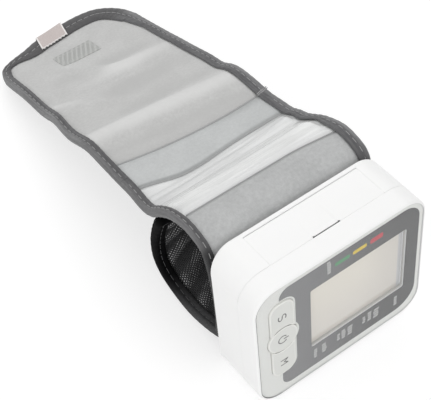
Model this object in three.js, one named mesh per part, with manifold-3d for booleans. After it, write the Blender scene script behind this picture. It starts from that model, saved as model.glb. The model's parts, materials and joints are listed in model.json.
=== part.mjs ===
// Wrist blood pressure monitor: a two-piece case with three keys, and a sewn cuff that lies open behind it.
// Millimetres, +Z up. The pieces are drawn with the case upright: x across the case, y from the front face
// to the back, z up from the standing face. The finished assembly then leans back until the strap's far end
// touches the table, as the real one does when it is put down with its strap open.
import * as THREE from 'three';
import { mergeVertices } from 'three/addons/utils/BufferGeometryUtils.js';
import Module from 'manifold-3d';

const wasm = await Module();
wasm.setup();

// Case. Its width and depth follow from the cells, the front stack and the screw bosses.
const caseHeight = 60.5;
const caseCorner = 9.5;
const caseWall = 1.8;
const rimFillet = 1.2;
const partingDepth = 8.5;
const saddleSag = 4;
const fitGap = 0.2;
const seatGap = 0.3;
const tongueHeight = 1.2;
const tongueWall = 0.9;

// Front panel, prints and display, counted back from the front rim
const rimWidth = 1.3;
const lensDrop = 0.1;
const lensThickness = 1.2;
const printThickness = 0.2;
const frontWall = 1.5;
const displayGlass = 1.2;
const reflectorThickness = 0.8;
const boardThickness = 1.2;
const windowBottom = 16.05;
const windowTopInset = 12.95;
const windowKeyGap = 5.9;
const windowRightInset = 8.1;
const windowCorner = 0.8;
const displayMargin = 2.6;
const contactStripWidth = 1.8;
const maskLeftInset = 10.3;
const maskRightInset = 2.6;
const maskBottom = 4.3;
const maskTopInset = 2.2;
const maskCorners = { topLeft: 5, topRight: 7, bottomRight: 9, bottomLeft: 4 };
const boardMarginX = 1.4;
const boardMarginZ = 9;

// Keys
const keyInset = 10.9;
const keyRise = 2.15;
const keyRadius = 6.1;
const keyPadWidth = 9.8;
const keyPadReach = 19.6;
const keyPadCorner = 4;
const keySlit = 0.5;
const keyClearance = 0.3;
const keyProud = 0.5;
const keyEdge = 0.25;
const keyTravel = 0.5;
const keyFlange = 0.8;
const keyFlangeThickness = 0.7;
const switchSide = 4.6;
const switchPlunger = 1.3;

// Battery door and cells
const doorMargin = 1.4;
const doorRearRim = 1.5;
const doorGap = 0.25;
const doorPinRadius = 0.45;
const doorPinLength = 0.7;
const doorLegDepth = 2.2;
const doorLegWidth = 7;
const slitLeft = -4.5;
const slitRight = 5.9;
const slitWidth = 0.8;
const slitEndRadius = 0.65;
const cellLength = 44.5;
const cellRadius = 5.25;
const cellCap = 0.8;
const cellCapRadius = 1.9;
const cellPitch = 11;
const cellOffset = 1.35;
const cellFrontGap = 0.25;
const contactThickness = 0.4;
const contactSide = 8;
const springRadius = 2.6;
const springLength = 2.6;
const bayWall = 0.9;

// Air path
const pumpRadius = 5;
const pumpMotorLength = 19;
const pumpHeadLength = 9;
const valveWidth = 13;
const valveHeight = 8;
const valveDepth = 8.5;
const manifoldSide = 6;
const sensorSide = 5;
const sensorHeight = 3;
const buzzerRadius = 3.8;
const buzzerHeight = 2.6;
const tubeRadius = 1.3;
const nozzleRadius = 1.6;
const nozzleInset = 19;
const nozzleDrop = 10.4;
const screwRadius = 1;
const screwHeadRadius = 1.8;
const screwHead = 1.2;
const screwGrip = 3;
const screwReach = 3.4;
const bossRadius = 2.2;
const bossInset = 6.2;

// Cuff
const cuffInset = 2;
const strapTaper = 2.5;
const cuffThickness = 3;
const bindingWall = 0.6;
const bindingWidth = 4.6;
const layerGap = 0.15;
const skinThickness = 0.75;
const stiffenerThickness = 0.4;
const bladderThickness = 0.7;
const hingeGap = 0.3;
const strapSwing = THREE.MathUtils.degToRad(60);
const endPanelLength = 102.5;
const midPanelLength = 16.1;
const filmPanelLength = 34.5;
const strapEndCorner = 15;
const creaseHeight = 11.9;
const stiffenerTop = 8;
const plateSideGap = 2.4;
const plateThickness = 0.7;
const plateMargin = 6;
const tabWidth = 12.7;
const tabCentreX = -2.6;
const tabLength = 8.5;
const tabThickness = 0.5;
const patchWidth = 17.5;
const patchLength = 10;
const patchCentreX = -2.8;
const patchFromEnd = 19;
const patchThickness = 0.5;
const patchRibs = 7;
const hookWidth = 50;
const hookLength = 44;
const hookFromEnd = 9;
const hookThickness = 0.5;
// Mid-thickness of the strap behind the case: distance behind the case's rear edge, height above its top.
const strapRoute = [
  [3.4, -2.6], [8.4, 0.6], [14.1, 1.1], [22.6, -1.8], [29.5, -6.2], [35.1, -10.7], [41.1, -13.2],
  [48.6, -14.1], [57.1, -15.5], [67.1, -15.7], [78.1, -16.5], [93.1, -21.5], [105.1, -24.5],
  [125.1, -28.8], [140.1, -32], [163.1, -36.5],
];
// Mid-thickness of the tail flap: distance behind the case's rear edge, and height above the standing face
// for its lower part or above the case's top for its upper part.
const tailLowRoute = [[9, 11.2], [19, 10.2], [28, 10.2], [35, 13], [38.6, 18.5]];
const tailHighRoute = [[38.8, -33.5], [36.8, -25.5], [33.8, -17.9]];

const stripSpacing = 3.4;
const roundSteps = 4;
const fineSides = 24;
const roundSides = 16;
const smallSides = 10;
const halfCuff = cuffThickness / 2;
const halfBinding = halfCuff + layerGap + bindingWall;

// Depths from the front rim
const lensBack = lensDrop + lensThickness;
const printBack = lensBack + fitGap + printThickness;
const wallFront = printBack + fitGap;
const wallBack = wallFront + frontWall;
const displayFront = wallBack + seatGap;
const reflectorFront = displayFront + displayGlass + fitGap;
const boardFront = reflectorFront + reflectorThickness + seatGap;
const boardBack = boardFront + boardThickness;
const bayFront = boardBack + seatGap;

// Cells lie across the case, one above the other, with a contact at each end and the back wall behind them
const springSeat = springLength + fitGap + contactThickness;
const bayHalf = cellLength / 2 + springSeat + fitGap;
const bayLeft = cellOffset - bayHalf;
const bayRight = cellOffset + bayHalf;
const upperCellZ = caseHeight - caseWall - keyClearance - fitGap - cellRadius;
const lowerCellZ = upperCellZ - cellPitch;
const lowerCellY = bayFront + bayWall + cellFrontGap + cellRadius;
const cellSeat = caseWall + seatGap + cellRadius;
const shelfTop = lowerCellZ - cellRadius - seatGap;

// The saddle-shaped back is an arc across the case's height, just behind the lower cell
const saddleRadius = ((caseHeight / 2) ** 2 + saddleSag ** 2) / (2 * saddleSag);
const saddleReach = Math.sqrt((saddleRadius + cellSeat) ** 2 - (lowerCellZ - caseHeight / 2) ** 2);
const saddleCentreY = lowerCellY + saddleReach;
const caseDepth = saddleCentreY + saddleSag - saddleRadius;

// Screw bosses stand beside the battery bay
const screwHoleRadius = screwRadius + layerGap;
const rearBossRadius = screwHeadRadius + seatGap + caseWall / 2;
const caseWidth = 2 * (bayRight - fitGap + rearBossRadius + bossInset);

// Places on the front, across the case and up it
const keyCentreX = keyInset - caseWidth / 2;
const keyCentreZ = caseHeight / 2 + keyRise;
const windowLeft = keyCentreX + keyRadius + windowKeyGap;
const windowRight = caseWidth / 2 - windowRightInset;
const windowTop = caseHeight - windowTopInset;

// Geometry of one solid, ready for joining and cutting.
function solid(geometry) {
  const bare = geometry.clone();
  bare.deleteAttribute('normal');
  bare.deleteAttribute('uv');
  const tolerance = 1e-4;
  const merged = mergeVertices(bare, tolerance);
  const vertProperties = merged.attributes.position.array;
  const triVerts = new Uint32Array(merged.index.array);
  return new wasm.Manifold(new wasm.Mesh({ numProp: 3, vertProperties, triVerts }));
}

function cut(body, ...tools) {
  return tools.reduce((left, tool) => left.subtract(tool), body);
}

function join(...bodies) {
  return bodies.reduce((left, right) => left.add(right));
}

function geometryOf(body) {
  const mesh = body.getMesh();
  const indexed = new THREE.BufferGeometry();
  indexed.setAttribute('position', new THREE.BufferAttribute(mesh.vertProperties, 3));
  indexed.setIndex(new THREE.BufferAttribute(mesh.triVerts, 1));
  const faceted = indexed.toNonIndexed();
  faceted.computeVertexNormals();
  return faceted;
}

// An outline in x and z, pushed from depth y0 to y1, with its edges rounded by fillet.
function facing(shape, y0, y1, fillet = 0) {
  const geometry = new THREE.ExtrudeGeometry(shape, {
    depth: y1 - y0 - 2 * fillet,
    bevelEnabled: fillet > 0,
    bevelThickness: fillet,
    bevelSize: fillet,
    bevelOffset: -fillet,
    bevelSegments: 2,
    curveSegments: roundSteps,
  });
  return solid(geometry.rotateX(Math.PI / 2).translate(0, y1 - fillet, 0));
}

// An outline pushed straight by depth, with sharp edges.
function prismOf(shape, depth) {
  return new THREE.ExtrudeGeometry(shape, { depth, bevelEnabled: false, curveSegments: roundSteps });
}

// An outline in y and z, pushed from x0 to x1.
function across(shape, x0, x1) {
  const geometry = prismOf(shape, x1 - x0);
  const axes = [new THREE.Vector3(0, 1, 0), new THREE.Vector3(0, 0, 1), new THREE.Vector3(1, 0, 0)];
  return solid(geometry.applyMatrix4(new THREE.Matrix4().makeBasis(...axes)).translate(x0, 0, 0));
}

// An outline in x and y, pushed from z0 to z1.
function upright(shape, z0, z1) {
  return solid(prismOf(shape, z1 - z0).translate(0, 0, z0));
}

function block(x0, x1, y0, y1, z0, z1) {
  const geometry = new THREE.BoxGeometry(x1 - x0, y1 - y0, z1 - z0);
  return solid(geometry.translate((x0 + x1) / 2, (y0 + y1) / 2, (z0 + z1) / 2));
}

// A round bar between two points on one axis.
function bar(from, to, radius, sides = roundSides) {
  const run = new THREE.Vector3().subVectors(to, from);
  const geometry = new THREE.CylinderGeometry(radius, radius, run.length(), sides);
  const barAxis = new THREE.Vector3(0, 1, 0);
  geometry.applyQuaternion(new THREE.Quaternion().setFromUnitVectors(barAxis, run.clone().normalize()));
  const middle = from.clone().add(to).multiplyScalar(0.5);
  return solid(geometry.translate(middle.x, middle.y, middle.z));
}

const at = (x, y, z) => new THREE.Vector3(x, y, z);

function roundedRect(x0, z0, x1, z1, corners) {
  const all = typeof corners === 'number';
  const topRight = all ? corners : corners.topRight;
  const topLeft = all ? corners : corners.topLeft;
  const bottomLeft = all ? corners : corners.bottomLeft;
  const bottomRight = all ? corners : corners.bottomRight;
  const shape = new THREE.Shape();
  shape.absarc(x1 - topRight, z1 - topRight, topRight, 0, Math.PI / 2);
  shape.absarc(x0 + topLeft, z1 - topLeft, topLeft, Math.PI / 2, Math.PI);
  shape.absarc(x0 + bottomLeft, z0 + bottomLeft, bottomLeft, Math.PI, Math.PI * 1.5);
  shape.absarc(x1 - bottomRight, z0 + bottomRight, bottomRight, Math.PI * 1.5, Math.PI * 2);
  shape.closePath();
  return shape;
}

function polygon(points) {
  return new THREE.Shape(points.map(([u, v]) => new THREE.Vector2(u, v)));
}

function disc(u, v, radius) {
  const shape = new THREE.Shape();
  shape.absarc(u, v, radius, 0, Math.PI);
  shape.absarc(u, v, radius, Math.PI, Math.PI * 2);
  return shape;
}

// The case's front view, drawn in by inset.
function caseOutline(inset) {
  const half = caseWidth / 2 - inset;
  return roundedRect(-half, inset, half, caseHeight - inset, caseCorner - inset);
}

// Everything in front of the saddle-shaped back, with the back moved forward by inset.
function beforeSaddle(inset) {
  const radius = saddleRadius + inset;
  const overshoot = 1;
  const reach = Math.asin((caseHeight / 2 + overshoot) / radius);
  const steps = 12;
  const points = [[-overshoot, -overshoot], [-overshoot, caseHeight + overshoot]];
  for (let i = 0; i <= steps; i += 1) {
    const angle = reach - (2 * reach * i) / steps;
    points.push([saddleCentreY - radius * Math.cos(angle), caseHeight / 2 + radius * Math.sin(angle)]);
  }
  return across(polygon(points), -caseWidth, caseWidth);
}

function saddleY(z, inset = 0) {
  return saddleCentreY - Math.sqrt((saddleRadius + inset) ** 2 - (z - caseHeight / 2) ** 2);
}

// Key outlines, drawn in by inset. side is 1 for the upper pad and -1 for the lower one.
function padOutline(side, inset, slit = keySlit + inset) {
  const left = keyCentreX - keyPadWidth / 2 + inset;
  const right = keyCentreX + keyPadWidth / 2 - inset;
  const end = keyCentreZ + side * (keyPadReach - inset);
  const corner = keyPadCorner - inset;
  const radius = keyRadius + slit;
  const spread = Math.asin((keyPadWidth / 2 - inset) / radius);
  const up = side * Math.PI / 2;
  const shape = new THREE.Shape();
  shape.absarc(keyCentreX, keyCentreZ, radius, up + spread, up - spread, true);
  const firstX = side > 0 ? right : left;
  const lastX = side > 0 ? left : right;
  shape.lineTo(firstX, end - side * corner);
  shape.absarc(firstX - side * corner, end - side * corner, corner, up - Math.PI / 2, up);
  shape.absarc(lastX + side * corner, end - side * corner, corner, up, up + Math.PI / 2);
  shape.closePath();
  return shape;
}

// The opening for all three keys in one plate, grown by clearance.
function keyOpening(clearance, y0, y1) {
  const slit = keySlit - clearance;
  const middle = facing(disc(keyCentreX, keyCentreZ, keyRadius + clearance), y0, y1);
  const pads = [1, -1].map((side) => facing(padOutline(side, -clearance, Math.min(slit, 0)), y0, y1));
  return join(middle, ...pads);
}

const finishes = {
  whiteShell: { color: 0xf2f2f1, roughness: 0.42, metalness: 0 },
  clearPanel: { color: 0xdfe2e0, roughness: 0.08, metalness: 0 },
  lightPrint: { color: 0xd9dad6, roughness: 0.3, metalness: 0 },
  darkPrint: { color: 0x5a5c5e, roughness: 0.3, metalness: 0 },
  display: { color: 0xcfcabf, roughness: 0.25, metalness: 0 },
  key: { color: 0xd6d7d2, roughness: 0.45, metalness: 0 },
  board: { color: 0x2f5d3c, roughness: 0.6, metalness: 0 },
  darkPart: { color: 0x303032, roughness: 0.5, metalness: 0 },
  steel: { color: 0xb9bbbd, roughness: 0.35, metalness: 1 },
  silicone: { color: 0xc9cac6, roughness: 0.6, metalness: 0 },
  cell: { color: 0x3c4046, roughness: 0.4, metalness: 0.3 },
  loopFabric: { color: 0xb7b9b8, roughness: 0.95, metalness: 0 },
  film: { color: 0xd8d9d7, roughness: 0.2, metalness: 0 },
  binding: { color: 0x55575a, roughness: 0.9, metalness: 0 },
  blackMesh: { color: 0x1c1c1e, roughness: 0.9, metalness: 0 },
  tab: { color: 0xcabfbd, roughness: 0.5, metalness: 0.2 },
};

const standing = new THREE.Group();

function piece(name, body, finish) {
  const mesh = new THREE.Mesh(geometryOf(body), new THREE.MeshStandardMaterial(finishes[finish]));
  mesh.name = name;
  standing.add(mesh);
  return mesh;
}

// Casings
const innerHalf = caseWidth / 2 - caseWall;
const partingGap = 0.3;
const frontEdge = partingDepth - partingGap / 2;
const rearEdge = partingDepth + partingGap / 2;
const overrun = 2;
const screwSpots = [-1, 1].flatMap((side) => [bossInset, caseHeight - bossInset].map((z) => ({
  x: side * (caseWidth / 2 - bossInset),
  z,
  name: `casing_screw_${z < caseHeight / 2 ? 'lower' : 'upper'}_${side < 0 ? 'left' : 'right'}`,
})));
const screwHeadY = rearEdge + screwGrip;

function windowOutline() {
  return roundedRect(windowLeft, windowBottom, windowRight, windowTop, windowCorner);
}

function makeFrontCasing() {
  const prism = facing(caseOutline(0), 0, partingDepth + overrun + rimFillet, rimFillet);
  const behind = block(-caseWidth, caseWidth, frontEdge, caseDepth, -overrun, caseHeight + overrun);
  const shell = cut(
    prism,
    behind,
    facing(caseOutline(caseWall), wallBack, caseDepth),
    facing(caseOutline(rimWidth), -overrun, wallFront),
    facing(windowOutline(), -overrun, wallBack + overrun),
    keyOpening(keyClearance, -overrun, wallBack + overrun),
  );
  const bosses = screwSpots.map(({ x, z }) =>
    bar(at(x, wallBack - fitGap, z), at(x, frontEdge, z), bossRadius));
  const holes = screwSpots.map(({ x, z }) =>
    bar(at(x, partingDepth - screwReach - seatGap, z), at(x, caseDepth, z), screwHoleRadius));
  return cut(join(shell, ...bosses), ...holes);
}

// Battery door: a plate in the upper wall that turns on two pins beside the case's rear edge
const doorLeft = cellOffset - cellLength / 2 - doorMargin;
const doorRight = cellOffset + cellLength / 2 + doorMargin;
const doorPivotY = caseDepth - doorRearRim - doorGap - caseWall / 2;
const doorPivotZ = caseHeight - caseWall / 2;
const doorFront = rearEdge;

function doorOpening() {
  const rear = doorPivotY + caseWall / 2 + doorGap;
  const hatch = block(doorLeft - doorGap, doorRight + doorGap, 0, rear, caseHeight - caseWall - overrun,
    caseHeight + overrun);
  const reach = doorPinLength + 2 * doorGap;
  return join(hatch, doorPins(reach, doorPinRadius + fitGap));
}

// The door's two pins in line, reaching past both its ends.
function doorPins(reach, radius) {
  const left = at(doorLeft - reach, doorPivotY, doorPivotZ);
  const right = at(doorRight + reach, doorPivotY, doorPivotZ);
  return bar(left, right, radius, smallSides);
}

function makeDoor() {
  const profile = new THREE.Shape();
  profile.moveTo(doorFront, caseHeight - caseWall);
  profile.lineTo(doorPivotY, caseHeight - caseWall);
  profile.absarc(doorPivotY, doorPivotZ, caseWall / 2, -Math.PI / 2, Math.PI / 2);
  profile.lineTo(doorFront, caseHeight);
  const pins = doorPins(doorPinLength, doorPinRadius);
  const legLeft = (slitLeft + slitRight - doorLegWidth) / 2;
  const legFront = doorFront + slitWidth + slitEndRadius;
  const leg = block(legLeft, legLeft + doorLegWidth, legFront, legFront + caseWall / 2,
    caseHeight - caseWall - doorLegDepth, caseHeight - caseWall / 2);
  const low = caseHeight - 2 * caseWall;
  const high = caseHeight + overrun;
  const slit = block(slitLeft, slitRight, doorFront - overrun, doorFront + slitWidth, low, high);
  const ends = [slitLeft, slitRight].map((x) =>
    upright(disc(x, doorFront + slitWidth / 2, slitEndRadius), low, high));
  return cut(join(across(profile, doorLeft, doorRight), pins, leg), slit, ...ends);
}

const cellY = (z) => saddleY(z, cellSeat);
const nozzleX = caseWidth / 2 - nozzleInset;
const nozzleZ = shelfTop - nozzleDrop;

// The hole that the cuff's nozzle passes through, from the air path back to depth y1.
function nozzleHole(y1) {
  return bar(at(nozzleX, bayFront, nozzleZ), at(nozzleX, y1, nozzleZ), nozzleRadius + fitGap);
}

function makeRearCasing() {
  const prism = facing(caseOutline(0), partingDepth - overrun - rimFillet, caseDepth, rimFillet);
  const ahead = block(-caseWidth, caseWidth, -overrun, rearEdge, -overrun, caseHeight + overrun);
  const outer = cut(prism, ahead).intersect(beforeSaddle(0));
  const hollow = facing(caseOutline(caseWall), 0, caseDepth + overrun).intersect(beforeSaddle(caseWall));
  const tongueOuter = caseWall + fitGap;
  const root = cut(
    facing(caseOutline(caseWall / 2), rearEdge, rearEdge + tongueHeight),
    facing(caseOutline(tongueOuter + tongueWall), 0, caseDepth),
  );
  const tongue = cut(
    facing(caseOutline(tongueOuter), partingDepth - tongueHeight, rearEdge + tongueHeight),
    facing(caseOutline(tongueOuter + tongueWall), 0, caseDepth),
  );
  const ceiling = caseHeight - caseWall - seatGap;
  const walls = join(
    block(bayLeft - bayWall, bayRight + bayWall, bayFront, caseDepth, shelfTop - bayWall, shelfTop),
    block(bayLeft - bayWall, bayRight + bayWall, bayFront, bayFront + bayWall, shelfTop - bayWall, ceiling),
    block(bayLeft - bayWall, bayLeft, bayFront, caseDepth, shelfTop - bayWall, ceiling),
    block(bayRight, bayRight + bayWall, bayFront, caseDepth, shelfTop - bayWall, ceiling),
  );
  const bosses = screwSpots.map(({ x, z }) => bar(at(x, rearEdge, z), at(x, caseDepth, z), rearBossRadius));
  const inside = join(walls, ...bosses).intersect(beforeSaddle(caseWall / 2));
  const frontBosses = screwSpots.map(({ x, z }) =>
    bar(at(x, 0, z), at(x, rearEdge, z), bossRadius + seatGap));
  const holes = screwSpots.flatMap(({ x, z }) => [
    bar(at(x, 0, z), at(x, screwHeadY + overrun, z), screwHoleRadius),
    bar(at(x, screwHeadY, z), at(x, caseDepth + overrun, z), screwHeadRadius + seatGap),
  ]);
  const shell = join(cut(outer, hollow), root, tongue, inside);
  return cut(shell, ...frontBosses, ...holes, doorOpening(), nozzleHole(caseDepth + overrun));
}

piece('front_casing', makeFrontCasing(), 'whiteShell');
const rearCasing = piece('rear_casing', makeRearCasing(), 'whiteShell');
piece('battery_door', makeDoor(), 'whiteShell');
for (const { x, z, name } of screwSpots) {
  const tip = partingDepth - screwReach;
  const headFront = screwHeadY + fitGap;
  const shank = bar(at(x, tip, z), at(x, headFront + screwHead / 2, z), screwRadius, smallSides);
  const head = bar(at(x, headFront, z), at(x, headFront + screwHead, z), screwHeadRadius);
  piece(name, join(shank, head), 'steel');
}

// Front panel, its two prints, and the display behind the window
const panelInset = rimWidth + fitGap;
const lensEdge = 0.25;
const printGap = 0.1;
const printFront = lensBack + fitGap;

function maskOutline(grow) {
  const grown = Object.entries(maskCorners).map(([name, radius]) => [name, radius + grow]);
  const corners = Object.fromEntries(grown);
  const left = maskLeftInset - caseWidth / 2 - grow;
  const right = caseWidth / 2 - maskRightInset + grow;
  return roundedRect(left, maskBottom - grow, right, caseHeight - maskTopInset + grow, corners);
}

const panelKeys = keyOpening(keyClearance, -overrun, wallBack);
const panelPlate = facing(caseOutline(panelInset), lensDrop, lensBack, lensEdge);
piece('front_panel', cut(panelPlate, panelKeys), 'clearPanel');
piece('border_print', cut(
  facing(caseOutline(panelInset), printFront, printBack),
  facing(maskOutline(printGap), 0, wallBack),
  panelKeys,
), 'lightPrint');
piece('mask_print', cut(
  facing(maskOutline(0), printFront, printBack),
  facing(windowOutline(), 0, wallBack),
  keyOpening(keyClearance + printGap, 0, wallBack),
), 'darkPrint');

const glassLeft = windowLeft - displayMargin;
const glassRight = windowRight + displayMargin;
const glassBottom = windowBottom - displayMargin;
const glassTop = windowTop + displayMargin;
const glassBack = displayFront + displayGlass;
const reflectorBack = reflectorFront + reflectorThickness;
const stripGap = contactStripWidth + seatGap;
piece('display_glass', block(glassLeft, glassRight, displayFront, glassBack,
  glassBottom, glassTop), 'display');
piece('display_reflector', block(glassLeft, glassRight, reflectorFront, reflectorBack,
  glassBottom + stripGap, glassTop - stripGap), 'whiteShell');
const strips = { contact_strip_upper: glassTop - contactStripWidth, contact_strip_lower: glassBottom };
for (const [name, bottom] of Object.entries(strips)) {
  piece(name, block(glassLeft, glassRight, glassBack + fitGap, boardFront - fitGap,
    bottom, bottom + contactStripWidth), 'darkPart');
}

const boardHalf = innerHalf - boardMarginX;
piece('main_board', block(-boardHalf, boardHalf, boardFront, boardBack, boardMarginZ,
  caseHeight - boardMarginZ), 'board');

// Keys, each with the tact switch that it presses
const keyBack = wallBack + fitGap + keyFlangeThickness;
const plungerFront = keyBack + keyTravel + layerGap;
const padMiddle = (keyRadius + keySlit + keyPadReach) / 2;
const keySpots = [
  { key: 'set_key', tact: 'set_switch', side: 1 },
  { key: 'power_key', tact: 'power_switch', side: 0 },
  { key: 'memory_key', tact: 'memory_switch', side: -1 },
];
for (const { key, tact, side } of keySpots) {
  const round = side === 0;
  const outline = round ? disc(keyCentreX, keyCentreZ, keyRadius) : padOutline(side, 0);
  const cap = facing(outline, -keyProud, keyBack, keyEdge);
  const flanges = round ? [] : [facing(padOutline(side, -keyFlange, keySlit), wallBack + fitGap, keyBack)];
  piece(key, join(cap, ...flanges), 'key');
  const z = keyCentreZ + side * padMiddle;
  const base = plungerFront + seatGap;
  const body = block(keyCentreX - switchSide / 2, keyCentreX + switchSide / 2, base, boardFront - fitGap,
    z - switchSide / 2, z + switchSide / 2);
  const plunger = bar(at(keyCentreX, plungerFront, z), at(keyCentreX, base + fitGap, z), switchPlunger);
  piece(tact, join(body, plunger), 'darkPart');
}

// Cells and their contacts. side is the end that carries the positive cap.
function makeCell(z, side) {
  const y = cellY(z);
  const shoulder = at(cellOffset + side * (cellLength / 2 - cellCap), y, z);
  const foot = at(cellOffset - (side * cellLength) / 2, y, z);
  const tip = at(cellOffset + (side * cellLength) / 2, y, z);
  return join(bar(shoulder, foot, cellRadius, fineSides), bar(at(cellOffset, y, z), tip, cellCapRadius));
}

piece('battery_upper', makeCell(upperCellZ, 1), 'cell');
piece('battery_lower', makeCell(lowerCellZ, -1), 'cell');

// A conical coil spring from a contact plate towards a cell's flat end.
function contactSpring(plateX, side, z) {
  const turns = 3;
  const stepsPerTurn = 8;
  const wire = 0.3;
  const wireSides = 5;
  const points = [];
  for (let i = 0; i <= turns * stepsPerTurn; i += 1) {
    const share = i / (turns * stepsPerTurn);
    const radius = springRadius * (1 - share / 2);
    const angle = share * turns * Math.PI * 2;
    const x = plateX + side * (share * (springLength - wire));
    points.push(at(x, cellY(z) + radius * Math.cos(angle), z + radius * Math.sin(angle)));
  }
  const path = new THREE.CatmullRomCurve3(points);
  const section = polygon(Array.from({ length: wireSides }, (_, i) => {
    const angle = (i * Math.PI * 2) / wireSides;
    return [wire * Math.cos(angle), wire * Math.sin(angle)];
  }));
  return solid(new THREE.ExtrudeGeometry(section, { steps: turns * stepsPerTurn, extrudePath: path }));
}

function contactPlate(x, z) {
  const half = contactSide / 2;
  return block(x, x + contactThickness, cellY(z) - half, cellY(z) + half, z - half, z + half);
}

// A pressed pip that meets a cell's cap.
function contactPip(plateX, side, z) {
  return bar(at(plateX, cellY(z), z), at(plateX + side * springLength, cellY(z), z), cellCapRadius);
}

const leftPlate = bayLeft + fitGap;
const rightPlate = bayRight - fitGap - contactThickness;
const leftFace = leftPlate + contactThickness;
const linkHalf = cellRadius / 2;
const linkY = cellY(lowerCellZ);
const link = block(leftPlate, leftFace, linkY - linkHalf, linkY + linkHalf, lowerCellZ, upperCellZ);
piece('contact_link', join(
  contactPlate(leftPlate, upperCellZ),
  contactPlate(leftPlate, lowerCellZ),
  link,
  contactSpring(leftFace, 1, upperCellZ),
  contactPip(leftFace, 1, lowerCellZ),
), 'steel');
piece('contact_positive', join(
  contactPlate(rightPlate, upperCellZ),
  contactPip(rightPlate, -1, upperCellZ),
), 'steel');
piece('contact_negative', join(
  contactPlate(rightPlate, lowerCellZ),
  contactSpring(rightPlate, -1, lowerCellZ),
), 'steel');

// Air path in the lower half of the case
const airFront = boardBack + seatGap;
const pumpY = airFront + pumpRadius;
const pumpZ = shelfTop - bayWall - 2 * seatGap - pumpRadius;
const pumpLeft = -innerHalf + boardMarginX;
const motorRight = pumpLeft + pumpMotorLength;
const pumpMotor = bar(at(pumpLeft, pumpY, pumpZ), at(motorRight, pumpY, pumpZ), pumpRadius, fineSides);
piece('pump_motor', pumpMotor, 'steel');
const headLeft = motorRight + seatGap;
const headRight = headLeft + pumpHeadLength;
piece('pump_head', block(headLeft, headRight, airFront, airFront + 2 * pumpRadius, pumpZ - pumpRadius,
  pumpZ + pumpRadius), 'darkPart');

const manifoldHalf = manifoldSide / 2;
const manifoldY = airFront + valveDepth / 2;
piece('air_manifold', block(nozzleX - manifoldHalf, nozzleX + manifoldHalf, manifoldY - manifoldHalf,
  manifoldY + manifoldHalf, nozzleZ - manifoldHalf, nozzleZ + manifoldHalf), 'darkPart');

const valveTop = pumpZ - pumpRadius - seatGap;
const valveRight = headRight;
const valveTubeZ = valveTop - valveHeight + 2 * tubeRadius;
piece('exhaust_valve', block(valveRight - valveWidth, valveRight, airFront, airFront + valveDepth,
  valveTop - valveHeight, valveTop), 'darkPart');

const sensorX = innerHalf - fitGap - tongueWall - seatGap - buzzerRadius;
const sensorTop = nozzleZ - manifoldHalf - 2 * tubeRadius;
const sensorFront = boardBack + fitGap;
const sensorMiddleY = sensorFront + sensorHeight / 2;
const portTop = sensorTop + tubeRadius;
piece('pressure_sensor', join(
  block(sensorX - sensorSide / 2, sensorX + sensorSide / 2, sensorFront, sensorFront + sensorHeight,
    sensorTop - sensorSide, sensorTop),
  bar(at(sensorX, sensorMiddleY, sensorTop - tubeRadius), at(sensorX, sensorMiddleY, portTop), tubeRadius,
    smallSides),
), 'darkPart');
const buzzerZ = shelfTop - bayWall - seatGap - buzzerRadius;
piece('buzzer', bar(at(sensorX, sensorFront, buzzerZ), at(sensorX, sensorFront + buzzerHeight, buzzerZ),
  buzzerRadius, fineSides), 'darkPart');

// A silicone tube along a smooth path through the given points.
function tube(points) {
  const extrudePath = new THREE.CatmullRomCurve3(points);
  const steps = Math.ceil(extrudePath.getLength() / (2 * tubeRadius));
  const curveSegments = 3;
  return solid(new THREE.ExtrudeGeometry(disc(0, 0, tubeRadius), { steps, extrudePath, curveSegments }));
}

const tubeGap = seatGap;
const pumpTubeZ = (pumpZ + nozzleZ) / 2;
piece('pump_tube', tube([
  at(headRight + tubeGap, manifoldY, pumpTubeZ),
  at(nozzleX - manifoldHalf - tubeGap, manifoldY, pumpTubeZ),
]), 'silicone');
piece('valve_tube', tube([
  at(valveRight + tubeGap, manifoldY, valveTubeZ),
  at(nozzleX - manifoldSide, manifoldY, valveTubeZ),
  at(nozzleX - tubeRadius, manifoldY, valveTubeZ + tubeRadius / 4),
  at(nozzleX, manifoldY, nozzleZ - manifoldHalf - tubeGap - tubeRadius),
  at(nozzleX, manifoldY, nozzleZ - manifoldHalf - 2 * tubeGap),
]), 'silicone');
piece('sensor_tube', tube([
  at(sensorX, sensorMiddleY, portTop + 2 * tubeGap),
  at(sensorX, sensorMiddleY, portTop + 2 * tubeGap + tubeRadius),
  at(sensorX - tubeRadius, manifoldY - tubeRadius, nozzleZ - tubeRadius / 4),
  at(nozzleX + manifoldHalf + 2 * tubeGap + tubeRadius, manifoldY, nozzleZ),
  at(nozzleX + manifoldHalf + 2 * tubeGap, manifoldY, nozzleZ),
]), 'silicone');

// Cuff. Stations run along the strap's mid-thickness from the crease behind the case to the strap's end.
const wallY = (z) => saddleY(z, -(halfBinding + seatGap));
const wallTop = caseHeight - caseCorner;
const wallSteps = 3;
const wallPoints = [];
for (let i = 0; i <= wallSteps; i += 1) {
  const z = creaseHeight + ((wallTop - creaseHeight) * i) / wallSteps;
  wallPoints.push(at(0, wallY(z), z));
}
const strapPoints = strapRoute.map(([back, up]) => at(0, caseDepth + back, caseHeight + up));
const strap = new THREE.CatmullRomCurve3([...wallPoints, ...strapPoints], false, 'centripetal');
strap.arcLengthDivisions = 600;
const tailPoints = [
  ...tailLowRoute.map(([back, up]) => at(0, caseDepth + back, up)),
  ...tailHighRoute.map(([back, up]) => at(0, caseDepth + back, caseHeight + up)),
];
const tail = new THREE.CatmullRomCurve3([wallPoints[0], ...tailPoints], false, 'centripetal');
const strapEnd = strap.getLength();
const seamEnd = strapEnd - endPanelLength;
const seamMid = seamEnd - midPanelLength;
const seamFilm = seamMid - filmPanelLength;

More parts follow.
